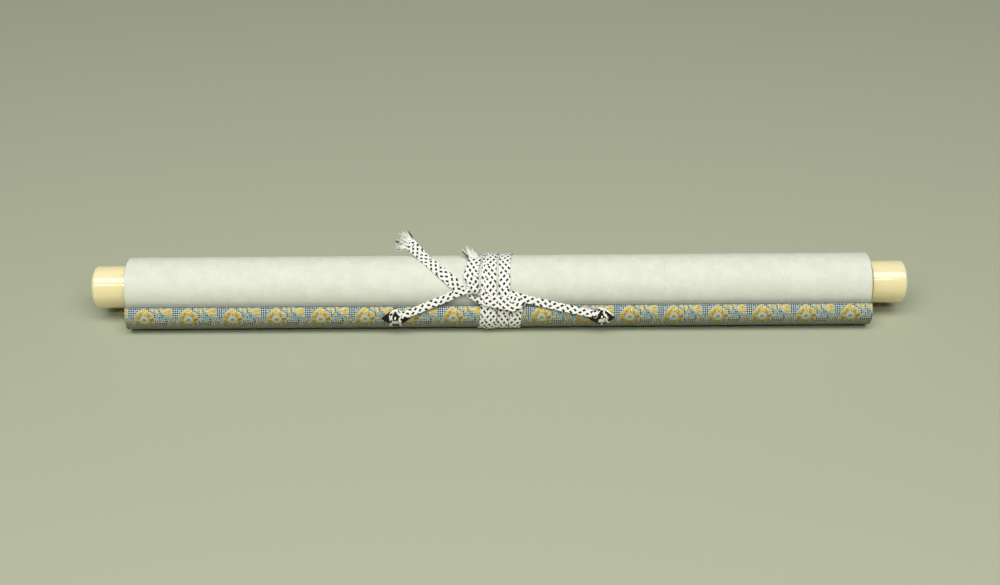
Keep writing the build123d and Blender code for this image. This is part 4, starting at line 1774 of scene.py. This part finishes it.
@dataclass
class Knobs:
    """The two turned knobs, as profiles turned about the roller's axis."""

    radius: float = 15.7 * MM
    edge: float = 2.6 * MM
    dome: float = 0.8 * MM
    lip: float = 0.5 * MM
    first_ring: float = 6.2 * MM
    around: int = 192

    def profile(self, length: float) -> np.ndarray:
        """Distance from the inner face and radius, from the middle of the inner face outwards.

        A lip's small round, the straight barrel, the edge's quarter round, then a dome whose
        height falls with the square of the radius.
        """
        lip = np.radians(np.linspace(0, 90, 7))
        start = np.stack([self.lip * (1 - np.cos(lip)), self.radius - self.lip * (1 - np.sin(lip))], axis=1)
        face = np.stack([np.zeros(4), np.linspace(self.first_ring, self.radius - self.lip, 5)[:-1]], axis=1)
        round_edge = np.radians(np.linspace(90, 0, 17))
        flat = length - self.dome
        inner = self.radius - self.edge
        edge = self.edge * np.stack([np.cos(round_edge) - 1, np.sin(round_edge)], axis=1) + [flat, inner]
        reach = np.linspace(inner, 0, 16)[1:-1]
        dome = np.stack([flat + self.dome * (1 - (reach / inner) ** 2), reach], axis=1)
        return np.vstack([face, start, edge, dome])

    def build(self, finish: IvoryFinish) -> None:
        """Turns both knobs: point = axis + along by the profile's length, round by its radius."""
        material = finish.material()
        for side in Side:
            name, sign = f"{side.value}_knob", side.sign
            low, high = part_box(name)
            length = high[0] - low[0]
            base = high[0] if sign < 0 else low[0]
            profile = self.profile(length)
            turn = 2 * np.pi * np.arange(self.around) / self.around
            x = base + sign * profile[:, 0][:, None] + 0 * turn[None, :]
            y = AXIS[1] + profile[:, 1][:, None] * np.cos(turn)[None, :]
            z = AXIS[2] + profile[:, 1][:, None] * np.sin(turn)[None, :]
            ends = ([base, *AXIS[1:]], [base + sign * length, *AXIS[1:]])
            points, faces = MeshPiece.tube(np.stack([x, y, z], axis=-1), ends, flipped=sign > 0)
            piece = MeshPiece.build(f"{side.value}_ivory_knob", points, faces)
            MeshPiece.dress(piece, material, "ivory_resin")
            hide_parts(name)
            LOG.info("%s", piece.name)


@dataclass(frozen=True)
class Lamp:
    """A rectangular lamp that faces the roll.

    It stands at an elevation above the front, in degrees, some way away and aside to the right,
    and size holds its width and height, in metres.
    """

    name: str
    watts: float
    elevation: float
    away: float
    size: tuple[float, float]
    aside: float = 0.0

    def build(self) -> None:
        """Puts the lamp into the scene."""
        light = bpy.data.lights.new(self.name, "AREA")
        light.shape = "RECTANGLE"
        light.energy = self.watts
        light.size, light.size_y = self.size
        rise = np.radians(self.elevation)
        direction = Vector((0.0, -np.cos(rise), np.sin(rise)))
        holder = bpy.data.objects.new(self.name, light)
        turn = (-direction).to_track_quat("-Z", "Y").to_matrix().to_4x4()
        place = Vector((self.aside, AXIS[1], AXIS[2])) + direction * self.away
        holder.matrix_world = Matrix.Translation(place) @ turn
        link(holder)


@dataclass
class Studio:
    """Floor, lamps and camera."""

    lens: float = 45.0
    sensor: float = 36.0
    nearest: float = 0.01
    distance: float = 0.93
    elevation: float = 35.0
    axis_above_middle: float = 8.35  # pixels
    axis_left_of_middle: float = 0.4  # pixels
    tilt: float = 0.392
    backdrop: Tint = screen(164, 168, 146)
    faint: float = 0.005
    floor_colour: Tint = screen(176, 180, 154)
    floor_half: float = 6.0
    lights: tuple[Lamp, ...] = (
        Lamp("overhead", 66.5, 71.0, 2.6, (4.2, 1.15)),
        Lamp("strip", 4.6, 46.0, 1.2, (1.4, 0.05), -0.06),
    )
    sun: tuple[float, float, float] = (0.38, 40.0, 15.0)  # strength, width and slant in degrees

    def camera(self) -> None:
        """The camera at the photograph's angle, with its slight tilt."""
        rise = np.radians(self.elevation)
        back = np.array([0.0, -np.cos(rise), np.sin(rise)])
        up = np.array([0.0, np.sin(rise), np.cos(rise)])
        place = np.array([0.0, AXIS[1], AXIS[2]]) + back * self.distance
        per_pixel = self.distance * self.sensor / (IMAGE_WIDTH * self.lens)
        aim = np.array([0.0, AXIS[1], AXIS[2]]) - up * self.axis_above_middle * per_pixel
        aim = aim + ALONG * self.axis_left_of_middle * per_pixel
        look = Vector(aim - place)
        data = bpy.data.cameras.new("camera")
        data.lens = self.lens
        data.sensor_width = self.sensor
        data.clip_start = self.nearest
        camera = bpy.data.objects.new("camera", data)
        turn = look.to_track_quat("-Z", "Y").to_matrix() @ Matrix.Rotation(-np.radians(self.tilt), 3, "Z")
        camera.matrix_world = Matrix.Translation(Vector(place)) @ turn.to_4x4()
        link(camera)
        bpy.context.scene.camera = camera

    def surroundings(self) -> None:
        """A world in the floor's colour, bright only for the camera and for gloss, and else faint."""
        world = bpy.data.worlds.new("world")
        bpy.context.scene.world = world
        world.use_nodes = True
        g = Graph(world.node_tree)
        ray = g.node("ShaderNodeLightPath").outputs
        seen = g.most(ray["Is Camera Ray"], ray["Is Glossy Ray"], ray["Is Transmission Ray"])
        background = world.node_tree.nodes["Background"].inputs
        background["Color"].default_value = self.backdrop
        g.put(g.add(self.faint, g.times(seen, 1 - self.faint)), background["Strength"])

    def lamps(self) -> None:
        """A wide soft lamp overhead, a strip near the camera, and a sun for an even floor."""
        for lamp in self.lights:
            lamp.build()
        strength, width, slant = self.sun
        sun = bpy.data.lights.new("even", "SUN")
        sun.energy = strength
        sun.angle = np.radians(width)
        holder = bpy.data.objects.new("even", sun)
        holder.rotation_euler = (np.radians(slant), 0, 0)
        holder.visible_glossy = False
        link(holder)

    def floor(self) -> None:
        """A wide plain floor under the part."""
        low, _ = CAD_BOX
        corners = np.array([[-1, -1, 0], [1, -1, 0], [1, 1, 0], [-1, 1, 0]]) * self.floor_half
        corners[:, 2] = low[2]
        mesh = bpy.data.meshes.new("floor")
        mesh.from_pydata(corners.tolist(), [], [(0, 1, 2, 3)])
        floor = bpy.data.objects.new("floor", mesh)
        link(floor)
        mesh.materials.append(Finish.plain("floor", self.floor_colour, 0.9))
        floor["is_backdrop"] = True

    def build(self) -> None:
        """Sets the whole studio up."""
        bpy.context.scene.view_settings.view_transform = "Standard"
        self.camera()
        self.surroundings()
        self.lamps()
        self.floor()


def main() -> None:
    """Builds every piece in order."""
    logging.basicConfig(level=logging.INFO, format="%(message)s")
    Studio().build()
    braid, loose = BraidFinish().material(), FrayFinish((254, 254, 236)).material("loose_yarn")
    HangingCord().build(braid, FrayFinish((255, 250, 218)).material("cord_end_yarn"))
    BindingCord().build(braid, loose)
    PaperRoll().build(PaperFinish())
    BrocadeCover().build(BrocadeFinish().material())
    Knobs().build(IvoryFinish())
    metal, wood = MetalFinish().material(), WoodFinish().material()
    for side in Side:
        LozengePlate(side).build(metal)
    dressed = {"left_eyelet": metal, "right_eyelet": metal, "roller": wood, "top_rod": wood}
    for name, material in dressed.items():
        MeshPiece.dress(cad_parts[name], material)


if __name__ == "__main__":
    main()
    [[list(corner) for corner in box] for box in (CAD_BOX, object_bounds())]
